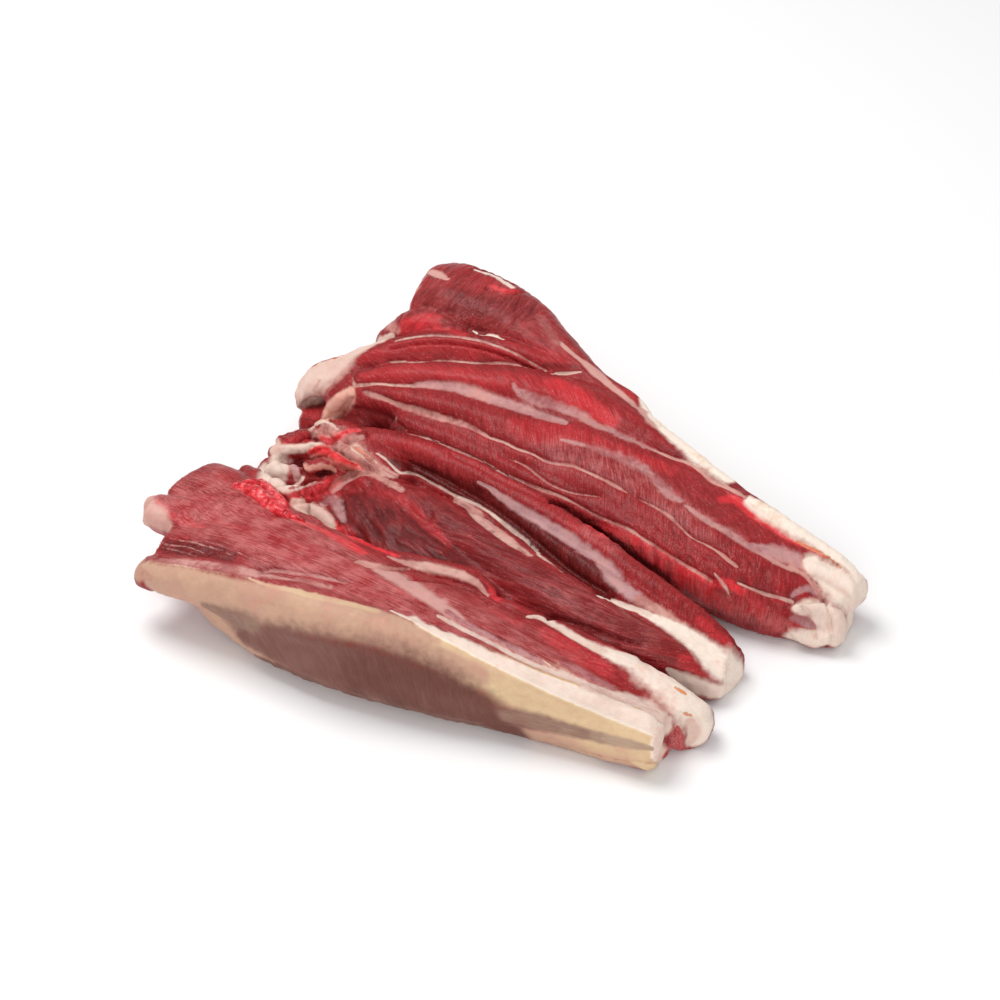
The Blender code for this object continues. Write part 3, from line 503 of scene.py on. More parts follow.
# muscle fibres: slant from the stroke in degrees, length and thickness in millimetres, relief, then points
FIBRES = {
    "heel_top": (-4, 9, 1.3, 1.1, (175, 525, 40), (260, 545, 40), (380, 590, 40), (500, 640, 30),
        (620, 690, 20)),
    "heel_ragged": (50, 4, 1.6, 2.2, (165, 546, 10), (190, 549, 12), (215, 554, 10)),
    "heel_side": (-60, 7, 1.6, 0.5, (200, 600, 30), (320, 640, 40), (440, 690, 40)),
    "heel_side_tip": (0, 7, 1.6, 0.5, (520, 725, 20), (640, 748, 20)),
    "oval": (-18, 5, 2.2, 2.2, (345, 505, 30), (385, 530, 40), (430, 550, 30)),
    "long_belly": (10, 7, 1.8, 1.5, (450, 530, 30), (530, 580, 40), (610, 630, 30), (690, 665, 20)),
    "ridge": (-62, 3.5, 1.1, 0.8, (372, 437, 14), (440, 452, 14), (520, 490, 14), (600, 548, 14),
        (690, 612, 14)),
    "dark_flank": (-58, 3.5, 1.2, 1.1, (395, 465, 16), (460, 490, 20), (540, 545, 26), (610, 592, 20)),
    "bright_strip": (-40, 4, 1.2, 0.7, (365, 372, 20), (450, 372, 20), (540, 388, 24), (620, 422, 24)),
    "upper_strip": (-40, 4, 1.2, 0.7, (365, 352, 20), (430, 346, 20), (510, 360, 20)),
    "second_strip": (-62, 3.5, 1.1, 0.8, (370, 400, 16), (450, 408, 20), (540, 436, 26), (640, 470, 24)),
    "third_strip": (-62, 3.5, 1.1, 0.8, (410, 424, 20), (500, 448, 22), (600, 492, 24), (700, 535, 20)),
    "near_wall": (-75, 3.5, 1.5, 1.6, (590, 530, 16), (650, 562, 26), (722, 604, 24)),
    "top_muscle_left": (0, 7, 1.8, 1.5, (415, 325, 20), (440, 300, 20), (462, 278, 20)),
    "top_muscle_right": (0, 7, 1.8, 1.3, (480, 340, 20), (505, 312, 20), (520, 292, 20)),
    "rim_far": (0, 6, 1.4, 0.8, (560, 345, 20), (640, 410, 20), (740, 480, 20)),
}

# pale film over the meat, thin membrane and painted sheen of the wet gloss, 0 to 1, then points
FILM_AND_SHEEN = {
    "heel_top": (1.0, (190, 500, 60), (260, 535, 80), (350, 575, 60), (450, 620, 60), (560, 668, 40)),
    "long_belly": (0.6, (560, 590, 30), (640, 635, 30)),
    "third_strip": (0.7, (560, 450, 24), (640, 480, 24), (700, 525, 24)),
    "top_muscle": (0.3, (440, 300, 40), (520, 310, 50), (580, 355, 30)),
    "tip_core": (1, (674, 730, 10), (678, 742, 12), (673, 756, 10)),
    # painted light: the film made strong on the near wall in the valley, to lighten it against the shade that
    # falls there
    "near_wall": (0.6, (590, 530, 14), (620, 546, 20), (650, 564, 24), (685, 590, 26), (715, 604, 22),
        (745, 612, 18), (780, 626, 16)),
    "ragged": (0.15, (160, 545, 16), (200, 551, 20), (240, 558, 16)),
    "joint_vivid_top": (0.6, (320, 437, 8), (338, 437, 12), (358, 431, 8)),
}

# lobes added to the joint and the tips before the remesh: lift in millimetres, then points
JOINT_LOBES = {
    "end_lobes": (0.6, (790, 614, 12), (804, 606, 15), (818, 606, 15), (831, 612, 18), (839, 625, 18),
        (828, 636, 15), (811, 640, 14), (797, 632, 12)),
    "end_silver": (0.2, (815, 570, 14), (832, 578, 18), (846, 586, 18), (856, 596, 12)),
    "ring_band": (0.5, (274, 452, 13), (284, 450, 13), (297, 449, 12), (312, 447, 10), (328, 446, 7),
        (338, 446, 5)),
    "ring_red": (1.4, (282, 442, 7), (294, 440, 8), (306, 435, 7)),
    "ring_fat": (0.4, (268, 465, 12), (276, 464, 14), (270, 475, 14), (280, 473, 14), (275, 485, 12),
        (285, 483, 12), (296, 487, 7)),
    "roll": (1.4, (284, 493, 11), (297, 495, 13), (311, 493, 14), (325, 488, 13), (337, 480, 9),
        (343, 473, 6)),
    "tangle_top": (1.2, (316, 428, 5), (324, 424, 6), (333, 430, 8), (343, 438, 8), (353, 440, 8),
        (364, 437, 5)),
    "tangle_far": (1.2, (340, 446, 7), (350, 452, 8), (362, 460, 8), (378, 468, 7), (395, 477, 4)),
    "tangle_mid": (1.0, (314, 456, 7), (326, 454, 8), (338, 460, 8), (350, 467, 8), (364, 472, 5)),
    "tangle_low": (1.0, (303, 462, 6), (306, 470, 6), (314, 468, 6), (326, 465, 5)),
    "fat_lump": (1.2, (346, 396, 9), (338, 402, 14), (330, 411, 11), (324, 420, 6)),
    "peach_fat": (0.4, (300, 505, 12), (312, 509, 16), (323, 515, 14), (332, 524, 10)),
}

# tips that are cut flat: depth and reach in millimetres, normal, place in the main view
CUT_TIPS = {
    "heel_core": (3.2, 16, (0.93, -0.30, 0.20), (678, 741)),
    "shin_tip": (2.5, 17, (0.96, 0.10, 0.25), (742, 672)),
    "shank_silver": (2.0, 12, (0.97, 0.05, 0.1), (862, 590)),
    "heel_tab": (2.2, 10, (-0.95, -0.25, 0.2), (143, 511)),
    "gristle_knob": (2.5, 15, (-0.76, -0.58, 0.3), (300, 388)),
}

# lobes of the clot at the knee: lift in millimetres, then points
CLOT_LOBES = {
    "clot_main": (0.8, (238, 487, 8), (247, 489, 12), (257, 494, 14), (267, 501, 15), (277, 509, 13),
        (288, 516, 8)),
    "clot_far": (0.8, (246, 484, 7), (258, 484, 9), (268, 490, 9), (277, 498, 9), (286, 506, 7)),
    "clot_tail": (0.6, (286, 515, 7), (294, 518, 6), (302, 521, 4)),
}


# ---- meshes
def deselect_all():
    """Nothing selected, object mode."""
    if bpy.context.object and bpy.context.object.mode != "OBJECT":
        bpy.ops.object.mode_set(mode="OBJECT")
    bpy.ops.object.select_all(action="DESELECT")


def make_active(piece):
    """The piece selected alone and active."""
    deselect_all()
    piece.select_set(True)
    bpy.context.view_layer.objects.active = piece


def new_piece(name):
    """An empty mesh object in the scene."""
    piece = bpy.data.objects.new(name, bpy.data.meshes.new(name))
    bpy.context.scene.collection.objects.link(piece)
    return piece


def apply_modifier(piece, kind, **settings):
    """Adds a modifier, sets it and applies it."""
    make_active(piece)
    modifier = piece.modifiers.new(kind.title(), kind)
    for name, value in settings.items():
        setattr(modifier, name, value)
    bpy.ops.object.modifier_apply(modifier=modifier.name)


def points_of(piece):
    """Places of the vertices, one row each."""
    co = np.empty(len(piece.data.vertices) * 3, np.float32)
    piece.data.vertices.foreach_get("co", co)
    return co.reshape(-1, 3).astype(float)


def set_points(piece, co):
    """Moves the vertices to new places."""
    piece.data.vertices.foreach_set("co", co.astype(np.float32).ravel())
    piece.data.update()


def normals_of(piece):
    """Normals of the vertices, one row each."""
    normals = np.empty(len(piece.data.vertices) * 3, np.float32)
    piece.data.vertex_normals.foreach_get("vector", normals)
    return normals.reshape(-1, 3).astype(float)


def edges_of(piece):
    """The two vertices of each edge."""
    edges = np.empty(len(piece.data.edges) * 2, np.int32)
    piece.data.edges.foreach_get("vertices", edges)
    return edges.reshape(-1, 2)


def skin_tree(piece):
    """The piece's faces, sorted for ray casting."""
    return BVHTree.FromPolygons([v.co for v in piece.data.vertices], [p.vertices for p in piece.data.polygons])


def store(piece, name, values, kind="FLOAT"):
    """Keeps a value or a vector for each vertex as an attribute that the materials read."""
    made = piece.data.attributes.get(name) or piece.data.attributes.new(name, kind, "POINT")
    made.data.foreach_set("vector" if kind == "FLOAT_VECTOR" else "value", values.astype(np.float32).ravel())


def relax(co, edges, rounds):
    """Smooths the ripples of the remesh without shrinking the shape: a pull and a push in each round."""
    count = len(co)
    ends = np.concatenate([edges, edges[:, ::-1]])
    valence = np.bincount(ends[:, 0], minlength=count)
    for step in (RELAX_PULL, RELAX_PUSH) * rounds:
        mean = np.stack([np.bincount(ends[:, 0], co[ends[:, 1], axis], count) for axis in range(3)], 1)
        co = co + step * (mean / valence[:, None] - co)
    return co


# ---- noise in space, the same each run
noise_table = np.random.default_rng(NOISE_SEED).random((NOISE_CELLS,) * 3)


def cloud(co, cell, shift):
    """Smooth noise from 0 to 1 at points in space, with lumps about one cell wide."""
    q = co / cell + shift
    low = np.floor(q).astype(int)
    t = q - low
    t = t * t * (3 - 2 * t)
    total = np.zeros(len(co))
    for dx in (0, 1):
        for dy in (0, 1):
            for dz in (0, 1):
                weight = (t[:, 0] if dx else 1 - t[:, 0]) * (t[:, 1] if dy else 1 - t[:, 1])
                weight = weight * (t[:, 2] if dz else 1 - t[:, 2])
                i, j, k = ((low[:, axis] + d) % NOISE_CELLS for axis, d in enumerate((dx, dy, dz)))
                total += weight * noise_table[i, j, k]
    return total


def lumps(co, layers, middle=0.0):
    """Layers of noise added up, each about the middle."""
    return sum(share * (cloud(co, size, shift) - middle) for size, shift, share in layers)


def spread(values):
    """Values brought to a mean of 0 and a spread of 1."""
    return (values - values.mean()) / max(values.std(), 1e-9)


def smooth_step(x):
    """0 below 0, 1 above 1, and a smooth rise between."""
    x = np.clip(x, 0, 1)
    return x * x * (3 - 2 * x)


# ---- strokes pressed onto the skin
def view_axes(view="main"):
    """Right, up and back of a view."""
    azimuth, elevation = (math.radians(angle) for angle in VIEWS[view])
    back = Vector((math.sin(azimuth) * math.cos(elevation), -math.cos(azimuth) * math.cos(elevation),
        math.sin(elevation)))
    right = Vector((math.cos(azimuth), math.sin(azimuth), 0.0))
    return right, back.cross(right), back


def smooth_line(points, step):
    """Catmull-Rom through the points, a sample every step along x, y; the other columns go along."""
    pts = np.array(points, float)
    ends = np.concatenate([[2 * pts[0] - pts[1]], pts, [2 * pts[-1] - pts[-2]]])
    line = []
    for i in range(len(pts) - 1):
        p0, p1, p2, p3 = ends[i:i + 4]
        count = max(2, int(np.hypot(*(p2 - p1)[:2]) / step))
        for t in np.arange(count) / count:
            line.append(0.5 * (2 * p1 + (p2 - p0) * t + (2 * p0 - 5 * p1 + 4 * p2 - p3) * t * t
                + (3 * p1 - p0 - 3 * p2 + p3) * t ** 3))
    line.append(pts[-1])
    return np.array(line)


def sight(tree, x, y, view="main"):
    """Where the line of sight through x, y of the view meets the skin, or the nearest place beside it."""
    right, up, back = view_axes(view)
    eye = VIEW_TARGET + back * VIEW_DISTANCE
    for reach in SIGHT_REACHES:
        for turn in range(SIGHT_TURNS if reach else 1):
            px = x + reach * math.cos(turn * math.tau / SIGHT_TURNS)
            py = y + reach * math.sin(turn * math.tau / SIGHT_TURNS)
            across = right * (px / VIEW_UNITS - 0.5) + up * (0.5 - py / VIEW_UNITS)
            ray = across - back * (VIEW_LENS / VIEW_SENSOR)
            place, normal, _, _ = tree.ray_cast(eye, ray.normalized())
            if place is not None:
                return place, normal, (eye - place).dot(back)
    return None


def press(tree, points, step, view="main"):
    """Presses a stroke onto the skin and returns its path, half widths and normals."""
    back = view_axes(view)[2]
    path, half, normals = [], [], []
    for x, y, width in smooth_line(points, step):
        met = sight(tree, x, y, view)
        if met is None:
            continue
        place, normal, depth = met
        facing = max(LEAST_FACING, abs(normal.dot(back)))
        path.append(place)
        normals.append(normal)
        half.append(width / (2 * VIEW_UNITS) * depth * VIEW_SENSOR / VIEW_LENS / (0.5 + 0.5 * facing))
    return np.array(path), np.array(half), np.array(normals)


def near_stroke(co, path, half, reach):
    """For the points within reach of the path: their indices, distance over half width, offset and tangent."""
    near = np.flatnonzero(np.all((co > path.min(0) - reach) & (co < path.max(0) + reach), axis=1))
    sub = co[near]
    ratio = np.full(len(near), OUT_OF_REACH)
    offset = np.ones((len(near), 3))
    tangent = np.zeros((len(near), 3))
    for a, b, half_a, half_b in zip(path[:-1], path[1:], half[:-1], half[1:]):
        along = b - a
        length = float(along @ along)
        if length < 1e-12:
            continue
        pick = np.flatnonzero(np.all(np.abs(sub - (a + b) / 2) < np.abs(along) / 2 + reach, axis=1))
        from_a = sub[pick] - a
        t = np.clip(from_a @ along / length, 0, 1)
        away = from_a - t[:, None] * along
        r = np.linalg.norm(away, axis=1) / (half_a + (half_b - half_a) * t)
        better = r < ratio[pick]
        hit = pick[better]
        ratio[hit] = r[better]
        offset[hit] = away[better]
        tangent[hit] = along / math.sqrt(length)
    return near, ratio, offset, tangent


class Layout:
    """The strokes pressed onto one skin."""

    def __init__(self, piece):
        tree = skin_tree(piece)
        self.seams = self.press_all(tree, SEAMS)
        self.pale = self.press_all(tree, FAT_AND_FASCIA)
        self.brown = self.press_all(tree, BROWN_FASCIA)
        self.tones = self.press_all(tree, MEAT_TONES)
        self.creases = self.press_all(tree, CREASES)
        self.fibres = self.press_all(tree, FIBRES, BROAD_STEP)
        self.film_and_sheen = self.press_all(tree, FILM_AND_SHEEN, BROAD_STEP)

    @staticmethod
    def press_all(tree, strokes, step=FINE_STEP):
        """Each stroke's values, path, half widths and normals, by its name."""
        pressed = {}
        for name, stroke in strokes.items():
            values = [v for v in stroke if not isinstance(v, tuple)]
            points = [v for v in stroke if isinstance(v, tuple)]
            view = name.split("_")[0]
            path, half, normals = press(tree, points, step, view if view in VIEWS else "main")
            if len(path) < 2:
                print("stroke beside the meat:", name)
                continue
            pressed[name] = (values, path, half, normals)
        return pressed


# ---- values over the skin
def fibre_way(co, normals, layout):
    """Direction, length, thickness and relief of the fibres at each point, blended from the fibre strokes."""
    way = np.zeros_like(co)
    traits = np.zeros((len(co), 3))
    weight_sum = np.zeros(len(co))
    for (slant, *stroke_traits), path, half, _ in layout.fibres.values():
        near, ratio, _, tangent = near_stroke(co, path, half, FIBRE_REACH)
        weight = 1 / (0.05 + np.clip(ratio, 0.6, None) ** 2) ** 2
        weight[ratio >= OUT_OF_REACH] = 0
        side = np.cross(normals[near], tangent)
        turned = tangent * math.cos(math.radians(slant)) + side * math.sin(math.radians(slant))
        way[near] += turned * weight[:, None]
        traits[near] += np.array(stroke_traits) * weight[:, None]
        weight_sum[near] += weight
    bare = weight_sum < 1e-9
    way[bare] = PLAIN_WAY
    traits[bare] = PLAIN_TRAITS
    weight_sum[bare] = 1
    way /= np.maximum(np.linalg.norm(way, axis=1), 1e-9)[:, None]
    return way, traits / weight_sum[:, None]


def fibre_grain(co, way, traits, shift):
    """Noise drawn out along the fibres: streaks as long and as thick as the traits say."""
    total = np.zeros(len(co))
    steps = np.linspace(-1, 1, GRAIN_SAMPLES)
    for step in steps:
        total += cloud((co + way * (step * traits[:, :1] * MM)) / (traits[:, 1:2] * MM), 1.0, shift)
    return spread(total / len(steps))


def outside_fascia(co, normals):
    """How far each point lies on the outer walls that the fan turns away: the far side and the knee end."""
    far = (normals @ np.array(FAR_WALL_FACING)) * (co[:, 1] > FAR_WALL_Y)
    end = (normals @ np.array(KNEE_WALL_FACING)) * (co[:, 0] < KNEE_WALL_X)
    return smooth_step((np.maximum(far, end) - WALL_FACING_START) / WALL_FACING_BLEND)


def pale_fields(co, normals, layout):
    """Fat, fascia and tendon: a field above 0 inside them, their warmth and how well they cover the meat."""
    outside = outside_fascia(co, normals)
    pale = outside * 1.15 - 1.0 + (lumps(co, WALL_PATCHES) - 0.42) * 2.2
    pale = np.where(outside > 0.02, np.clip(pale, -1, 1), -1)
    warmth = np.clip(0.06 + 0.8 * lumps(co, WALL_WARMTH) ** 2, 0, 0.5)
    cover = np.full(len(co), WALL_COVER)
    for (warm, covering), path, half, _ in (*layout.pale.values(), *layout.seams.values()):
        near, ratio, _, _ = near_stroke(co, path, half, 2 * half.max() + MM)
        field = np.clip(1 - ratio, -1, 1)
        weight = np.maximum(smooth_step(0.5 + 2.5 * (field - pale[near])), smooth_step(field / 0.5))
        warmth[near] += (warm - warmth[near]) * weight
        cover[near] += (covering - cover[near]) * weight
        pale[near] = np.maximum(pale[near], field)
    return pale, warmth, cover


def brown_fields(co, layout):
    """Browned fascia: a field above 0 inside it, and its tone."""
    brown = np.full(len(co), -1.0)
    tone = np.zeros(len(co))
    weight_sum = np.full(len(co), 1e-6)
    for (value,), path, half, _ in layout.brown.values():
        near, ratio, _, _ = near_stroke(co, path, half, 2 * half.max() + MM)
        brown[near] = np.maximum(brown[near], np.clip(1 - ratio, -1, 1))
        weight = 1 / (0.1 + ratio ** 2) ** 2
        tone[near] += value * weight
        weight_sum[near] += weight
    return brown, tone / weight_sum


def meat_tone(co, normals, layout):
    """Tone of the red meat: its strokes, among them painted shade in hollows and gaps and painted light on a
    shaded wall, and painted shade on the far side of each seam with painted light on its near side.
    """
    tone = np.full(len(co), PLAIN_TONE)
    for (value,), path, half, _ in layout.tones.values():
        near, ratio, _, _ = near_stroke(co, path, half, 1.7 * half.max())
        tone[near] += (value - tone[near]) * smooth_step(1.5 - ratio)
    for _, path, half, _ in layout.seams.values():
        near, _, offset, tangent = near_stroke(co, path, half, 3 * SEAM_SHADE_REACH)
        gap = np.linalg.norm(offset, axis=1)
        far_side = np.einsum("ij,ij->i", np.cross(normals[near], tangent), offset) / np.maximum(gap, 1e-6)
        # painted shade on the seam's far side, painted light on its near side
        shade_and_light = np.where(far_side > 0, -SEAM_SHADE, 0.5 * SEAM_SHADE) * np.abs(far_side)
        tone[near] += shade_and_light * np.exp(-(gap / SEAM_SHADE_REACH) ** 2)
    return tone


def film_and_sheen_amount(co, layout):
    """How strong the pale film over the meat is: thin membrane and painted sheen."""
    film_and_sheen = np.full(len(co), BASE_FILM_AND_SHEEN)
    for (value,), path, half, _ in layout.film_and_sheen.values():
        near, ratio, _, _ = near_stroke(co, path, half, 2 * half.max())
        film_and_sheen[near] += (value - film_and_sheen[near]) * smooth_step((1.8 - ratio) / 1.2)
    return film_and_sheen


# ---- the skin
def add_lobes(piece, tree, lobes, step):
    """Adds balls to the piece's mesh along strokes that lie on the skin, for a remesh to run together."""
    make_active(piece)
    bpy.ops.object.mode_set(mode="EDIT")
    for lift, *points in lobes.values():
        path, half, normals = press(tree, points, step)
        for place, radius, normal in zip(path, half, normals):
            bpy.ops.mesh.primitive_ico_sphere_add(subdivisions=2, radius=radius,
                location=place + normal * (lift * MM - LOBE_SINK * radius))
    bpy.ops.object.mode_set(mode="OBJECT")


def cut_tips(co, tree):
    """Flattens the rounded tips where a knife went through."""
    for depth, reach, normal, (x, y) in CUT_TIPS.values():
        place = np.array(sight(tree, x, y)[0])
        normal = np.array(normal) / np.linalg.norm(normal)
        beyond = (co - place) @ normal + depth * MM
        near = smooth_step(3 * (1 - np.linalg.norm(co - place, axis=1) / (reach * MM)))
        co = co - normal * (TIP_FLATNESS * np.clip(beyond, 0, None) * near)[:, None]
    return co


def fine_skin():
    """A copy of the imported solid's mesh with the joint's lobes, remeshed fine, smoothed, and its tips cut."""
    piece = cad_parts["beef_shank"].copy()
    piece.data = piece.data.copy()
    piece.name = "skin"
    piece.parent = None
    piece.data.materials.clear()
    bpy.context.scene.collection.objects.link(piece)
    make_active(piece)
    bpy.ops.object.mode_set(mode="EDIT")
    bpy.ops.mesh.select_all(action="SELECT")
    bpy.ops.mesh.remove_doubles(threshold=MERGE_DISTANCE)
    bpy.ops.object.mode_set(mode="OBJECT")
    add_lobes(piece, skin_tree(piece), JOINT_LOBES, LOBE_STEP)
    apply_modifier(piece, "REMESH", mode="VOXEL", voxel_size=SKIN_VOXEL)
    co = relax(points_of(piece), edges_of(piece), SKIN_RELAX_ROUNDS)
    underside = points_of(piece)[:, 2] < UNDERSIDE_HEIGHT
    co[underside, 2] = 0
    co[:, 2] = np.maximum(co[:, 2], 0)
    set_points(piece, co)
    set_points(piece, cut_tips(co, skin_tree(piece)))
    return piece


def carve(piece, layout):
    """Carves seams, creases, fibres and fat lobes into the skin and keeps the grain as an attribute."""
    co = points_of(piece)
    normals = normals_of(piece)
    pale, _, cover = pale_fields(co, normals, layout)
    seam_gap = np.full(len(co), GROOVE_REACH)
    rise = np.zeros(len(co))
    for _, path, half, _ in layout.seams.values():
        near, ratio, offset, _ = near_stroke(co, path, half, GROOVE_REACH)
        seam_gap[near] = np.minimum(seam_gap[near], np.linalg.norm(offset, axis=1))
        rise[near] -= SEAM_DEPTH * 0.5 * np.exp(-np.clip(ratio - 0.6, 0, None) ** 2 / 0.5)
    for (depth,), path, half, _ in layout.creases.values():
        near, ratio, offset, _ = near_stroke(co, path, half, GROOVE_REACH)
        seam_gap[near] = np.minimum(seam_gap[near], np.linalg.norm(offset, axis=1))
        rise[near] -= depth * MM * np.exp(-ratio ** 2 / 1.2)
    fat = smooth_step(pale * 3 + 0.3) * cover
    rise += PILLOW_RISE * (1 - np.exp(-seam_gap / PILLOW_REACH)) * (1 - 0.5 * fat)
    way, traits = fibre_way(co, normals, layout)
    grain = sum(share * fibre_grain(co, way, traits * stretch, shift) for stretch, shift, share in GRAINS)
    rise += FIBRE_RELIEF * grain * traits[:, 2] * (1 - 0.75 * fat)
    rise += FAT_RELIEF * fat * (lumps(co, FAT_LUMPS) - 0.8) * 2
    rise += SWELL_RELIEF * lumps(co, SWELL_LUMPS, 0.5) * 2
    joint = np.array(sight(skin_tree(piece), *JOINT_PLACE)[0])
    tangled = smooth_step(1.7 - np.linalg.norm(co - joint, axis=1) / JOINT_REACH)
    rise += JOINT_RELIEF * tangled * lumps(co, JOINT_LUMPS, 0.5)
    rise *= smooth_step(co[:, 2] / TABLE_BLEND)
    co = co + normals * rise[:, None]
    co[:, 2] = np.maximum(co[:, 2], 0)
    set_points(piece, co)
    store(piece, "grain", np.clip(0.5 + 0.2 * grain * np.clip(traits[:, 2], 0.6, 1.6), 0, 1))


def thin_underside(piece):
    """Fewer, larger triangles where the meat lies flat on the table."""
    co = points_of(piece)
    underside = np.flatnonzero(co[:, 2] < FLAT_HEIGHT)
    group = piece.vertex_groups.new(name="underside")
    group.add(underside.tolist(), 1.0, "REPLACE")
    ratio = 1 - (1 - UNDERSIDE_KEEP) * len(underside) / len(co)
    apply_modifier(piece, "TRIANGULATE")
    apply_modifier(piece, "DECIMATE", ratio=ratio, vertex_group="underside", vertex_group_factor=1000.0)
    piece.vertex_groups.clear()


def keep_fields(piece):
    """Keeps all that the meat's material reads as attributes of the carved skin."""
    layout = Layout(piece)
    co, normals = points_of(piece), normals_of(piece)
    pale, warmth, cover = pale_fields(co, normals, layout)
    brown, brown_tone = brown_fields(co, layout)
    fields = {"pale": pale, "warmth": warmth, "cover": cover, "brown": brown, "brown_tone": brown_tone,
        "tone": meat_tone(co, normals, layout), "film_and_sheen": film_and_sheen_amount(co, layout)}
    for name, values in fields.items():
        store(piece, name, values)
    store(piece, "fibre_way", fibre_way(co, normals, layout)[0], "FLOAT_VECTOR")


# ---- pieces
def make_clot(tree):
    """The red jelly that lies between the heel and the joint: lobes run together and wrinkled."""
    clot = new_piece("knee_clot")
    add_lobes(clot, tree, CLOT_LOBES, CLOT_STEP)
    apply_modifier(clot, "REMESH", mode="VOXEL", voxel_size=CLOT_VOXEL)
    set_points(clot, relax(points_of(clot), edges_of(clot), CLOT_RELAX_ROUNDS))
    co = points_of(clot)
    wrinkle = lumps(co, CLOT_WRINKLES, 0.5) * MM
    set_points(clot, co + normals_of(clot) * wrinkle[:, None])
    return clot


def parting_block(name, near_line, far_line):
    """A closed upright block over the table between two lines, as a knife would part the bundles."""
    outline = [*near_line, *reversed(far_line)]
    block = new_piece(name)
    foot = [(x * MM, y * MM, PARTING_FOOT) for x, y in outline]
    block.data.from_pydata(foot, [], [tuple(range(len(foot)))])
    make_active(block)
    bpy.ops.object.mode_set(mode="EDIT")
    bpy.ops.mesh.select_all(action="SELECT")
    bpy.ops.mesh.extrude_region_move(TRANSFORM_OT_translate={"value": (0, 0, PARTING_HEIGHT)})
    bpy.ops.mesh.select_all(action="SELECT")
    bpy.ops.mesh.normals_make_consistent(inside=False)
    bpy.ops.mesh.quads_convert_to_tris()
    bpy.ops.object.mode_set(mode="OBJECT")
    return block


def part_bundles(skin):
    """Parts the skin into its three bundles along the valleys."""
    lines = (NEAR_OF_TABLE, HEEL_SHIN_VALLEY, SHIN_SHANK_VALLEY, FAR_OF_TABLE)
    names = ("heel_bundle", "shin_bundle", "shank_bundle")
    blocks = [parting_block(name + "_block", *pair) for name, *pair in zip(names, lines[:-1], lines[1:])]
    bundles = []
    for name, block in zip(names, blocks):
        bundle = skin.copy()
        bundle.data = skin.data.copy()
        bundle.name = bundle.data.name = name
        bpy.context.scene.collection.objects.link(bundle)
        apply_modifier(bundle, "BOOLEAN", operation="INTERSECT", solver="MANIFOLD", object=block)
        bundles.append(bundle)
        bpy.data.objects.remove(block)
    return bundles


def beside_line(co, line):
    """Distance of each point to an upright wall that stands on a line given in millimetres."""
    line = np.array(line) * MM
    gap = np.full(len(co), 1.0)
    for a, b in zip(line[:-1], line[1:]):
        along = (b - a) / np.linalg.norm(b - a)
        from_a = co[:, :2] - a
        t = np.clip(from_a @ along, 0, np.linalg.norm(b - a))
        gap = np.minimum(gap, np.linalg.norm(from_a - t[:, None] * along, axis=1))
    return gap


def sharpen_walls(piece):
    """Marks the border of the parting walls sharp, so that the skin's shading doesn't bend into them."""
    mesh = piece.data
    co = points_of(piece)
    on_wall = np.minimum(beside_line(co, HEEL_SHIN_VALLEY), beside_line(co, SHIN_SHANK_VALLEY)) < WALL_GAP
    loop_edge = np.empty(len(mesh.loops), np.int64)
    loop_point = np.empty(len(mesh.loops), np.int64)
    corners = np.empty(len(mesh.polygons), np.int64)
    mesh.loops.foreach_get("edge_index", loop_edge)
    mesh.loops.foreach_get("vertex_index", loop_point)
    mesh.polygons.foreach_get("loop_total", corners)
    loop_face = np.repeat(np.arange(len(corners)), corners)
    wall = np.bincount(loop_face, on_wall[loop_point], len(corners)) == corners
    touching = np.bincount(loop_edge, wall[loop_face], len(mesh.edges))
    sharp = np.zeros(len(mesh.edges), bool)
    marked = mesh.attributes.get("sharp_edge") or mesh.attributes.new("sharp_edge", "BOOLEAN", "EDGE")
    marked.data.foreach_get("value", sharp)
    marked.data.foreach_set("value", sharp | (touching == 1))


def finish_piece(piece, material):
    """Smooth shading, its material, and its place in the part."""
    piece.data.materials.clear()
    piece.data.materials.append(material)
    make_active(piece)
    bpy.ops.object.shade_smooth_by_angle(angle=math.radians(SMOOTH_ANGLE))
    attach(piece, "root")
    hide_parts("beef_shank")


# ---- shader nodes
def srgb(red, green, blue):
    """A colour as seen on a screen, 0 to 255, as the linear colour that a shader takes."""
    channels = [c / 255 for c in (red, green, blue)]
    return (*(c / 12.92 if c <= 0.04045 else ((c + 0.055) / 1.055) ** 2.4 for c in channels), 1.0)


def add_node(tree, kind, inputs=(), **settings):
    """Adds a node, sets its settings, and links or sets its inputs by name or number."""
    made = tree.nodes.new(kind)
    for name, value in settings.items():
        setattr(made, name, value)
    for key, value in dict(inputs).items():
        if isinstance(value, bpy.types.NodeSocket):
            tree.links.new(value, made.inputs[key])
        else:
            made.inputs[key].default_value = value
    return made


def math_node(tree, operation, first, second=0.0, third=None, clamp=False):
    """Arithmetic on two or three values."""
    inputs = {0: first, 1: second}
    if third is not None:
        inputs[2] = third
    return add_node(tree, "ShaderNodeMath", inputs, operation=operation, use_clamp=clamp).outputs[0]


def add_patterns(tree, value, patterns, shares, clamp=False):
    """A value with its share of each pattern added, kept from 0 to 1 at the end if clamped."""
    for name, share in shares.items():
        last = name == list(shares)[-1]
        value = math_node(tree, "MULTIPLY_ADD", patterns[name], share, value, clamp=clamp and last)
    return value


def map_range(tree, value, low, high, to_low=0.0, to_high=1.0, smooth=True):
    """Maps low and high to other values, with a smooth or an even rise between."""
    return add_node(tree, "ShaderNodeMapRange", {0: value, 1: low, 2: high, 3: to_low, 4: to_high},
        interpolation_type="SMOOTHSTEP" if smooth else "LINEAR").outputs[0]


def mix_colour(tree, factor, first, second):
    """The first colour, with the second over it by the factor."""
    return add_node(tree, "ShaderNodeMix", {0: factor, 6: first, 7: second}, data_type="RGBA").outputs[2]


def noise_node(tree, vector, scale, detail):
    """Noise about 0.5 at a scale per metre."""
    return add_node(tree, "ShaderNodeTexNoise", {"Vector": vector, "Scale": scale, "Detail": detail}).outputs[0]


def attribute(tree, name, output="Fac"):
    """What the mesh says at this place under a name."""
    return add_node(tree, "ShaderNodeAttribute", attribute_name=name).outputs[output]


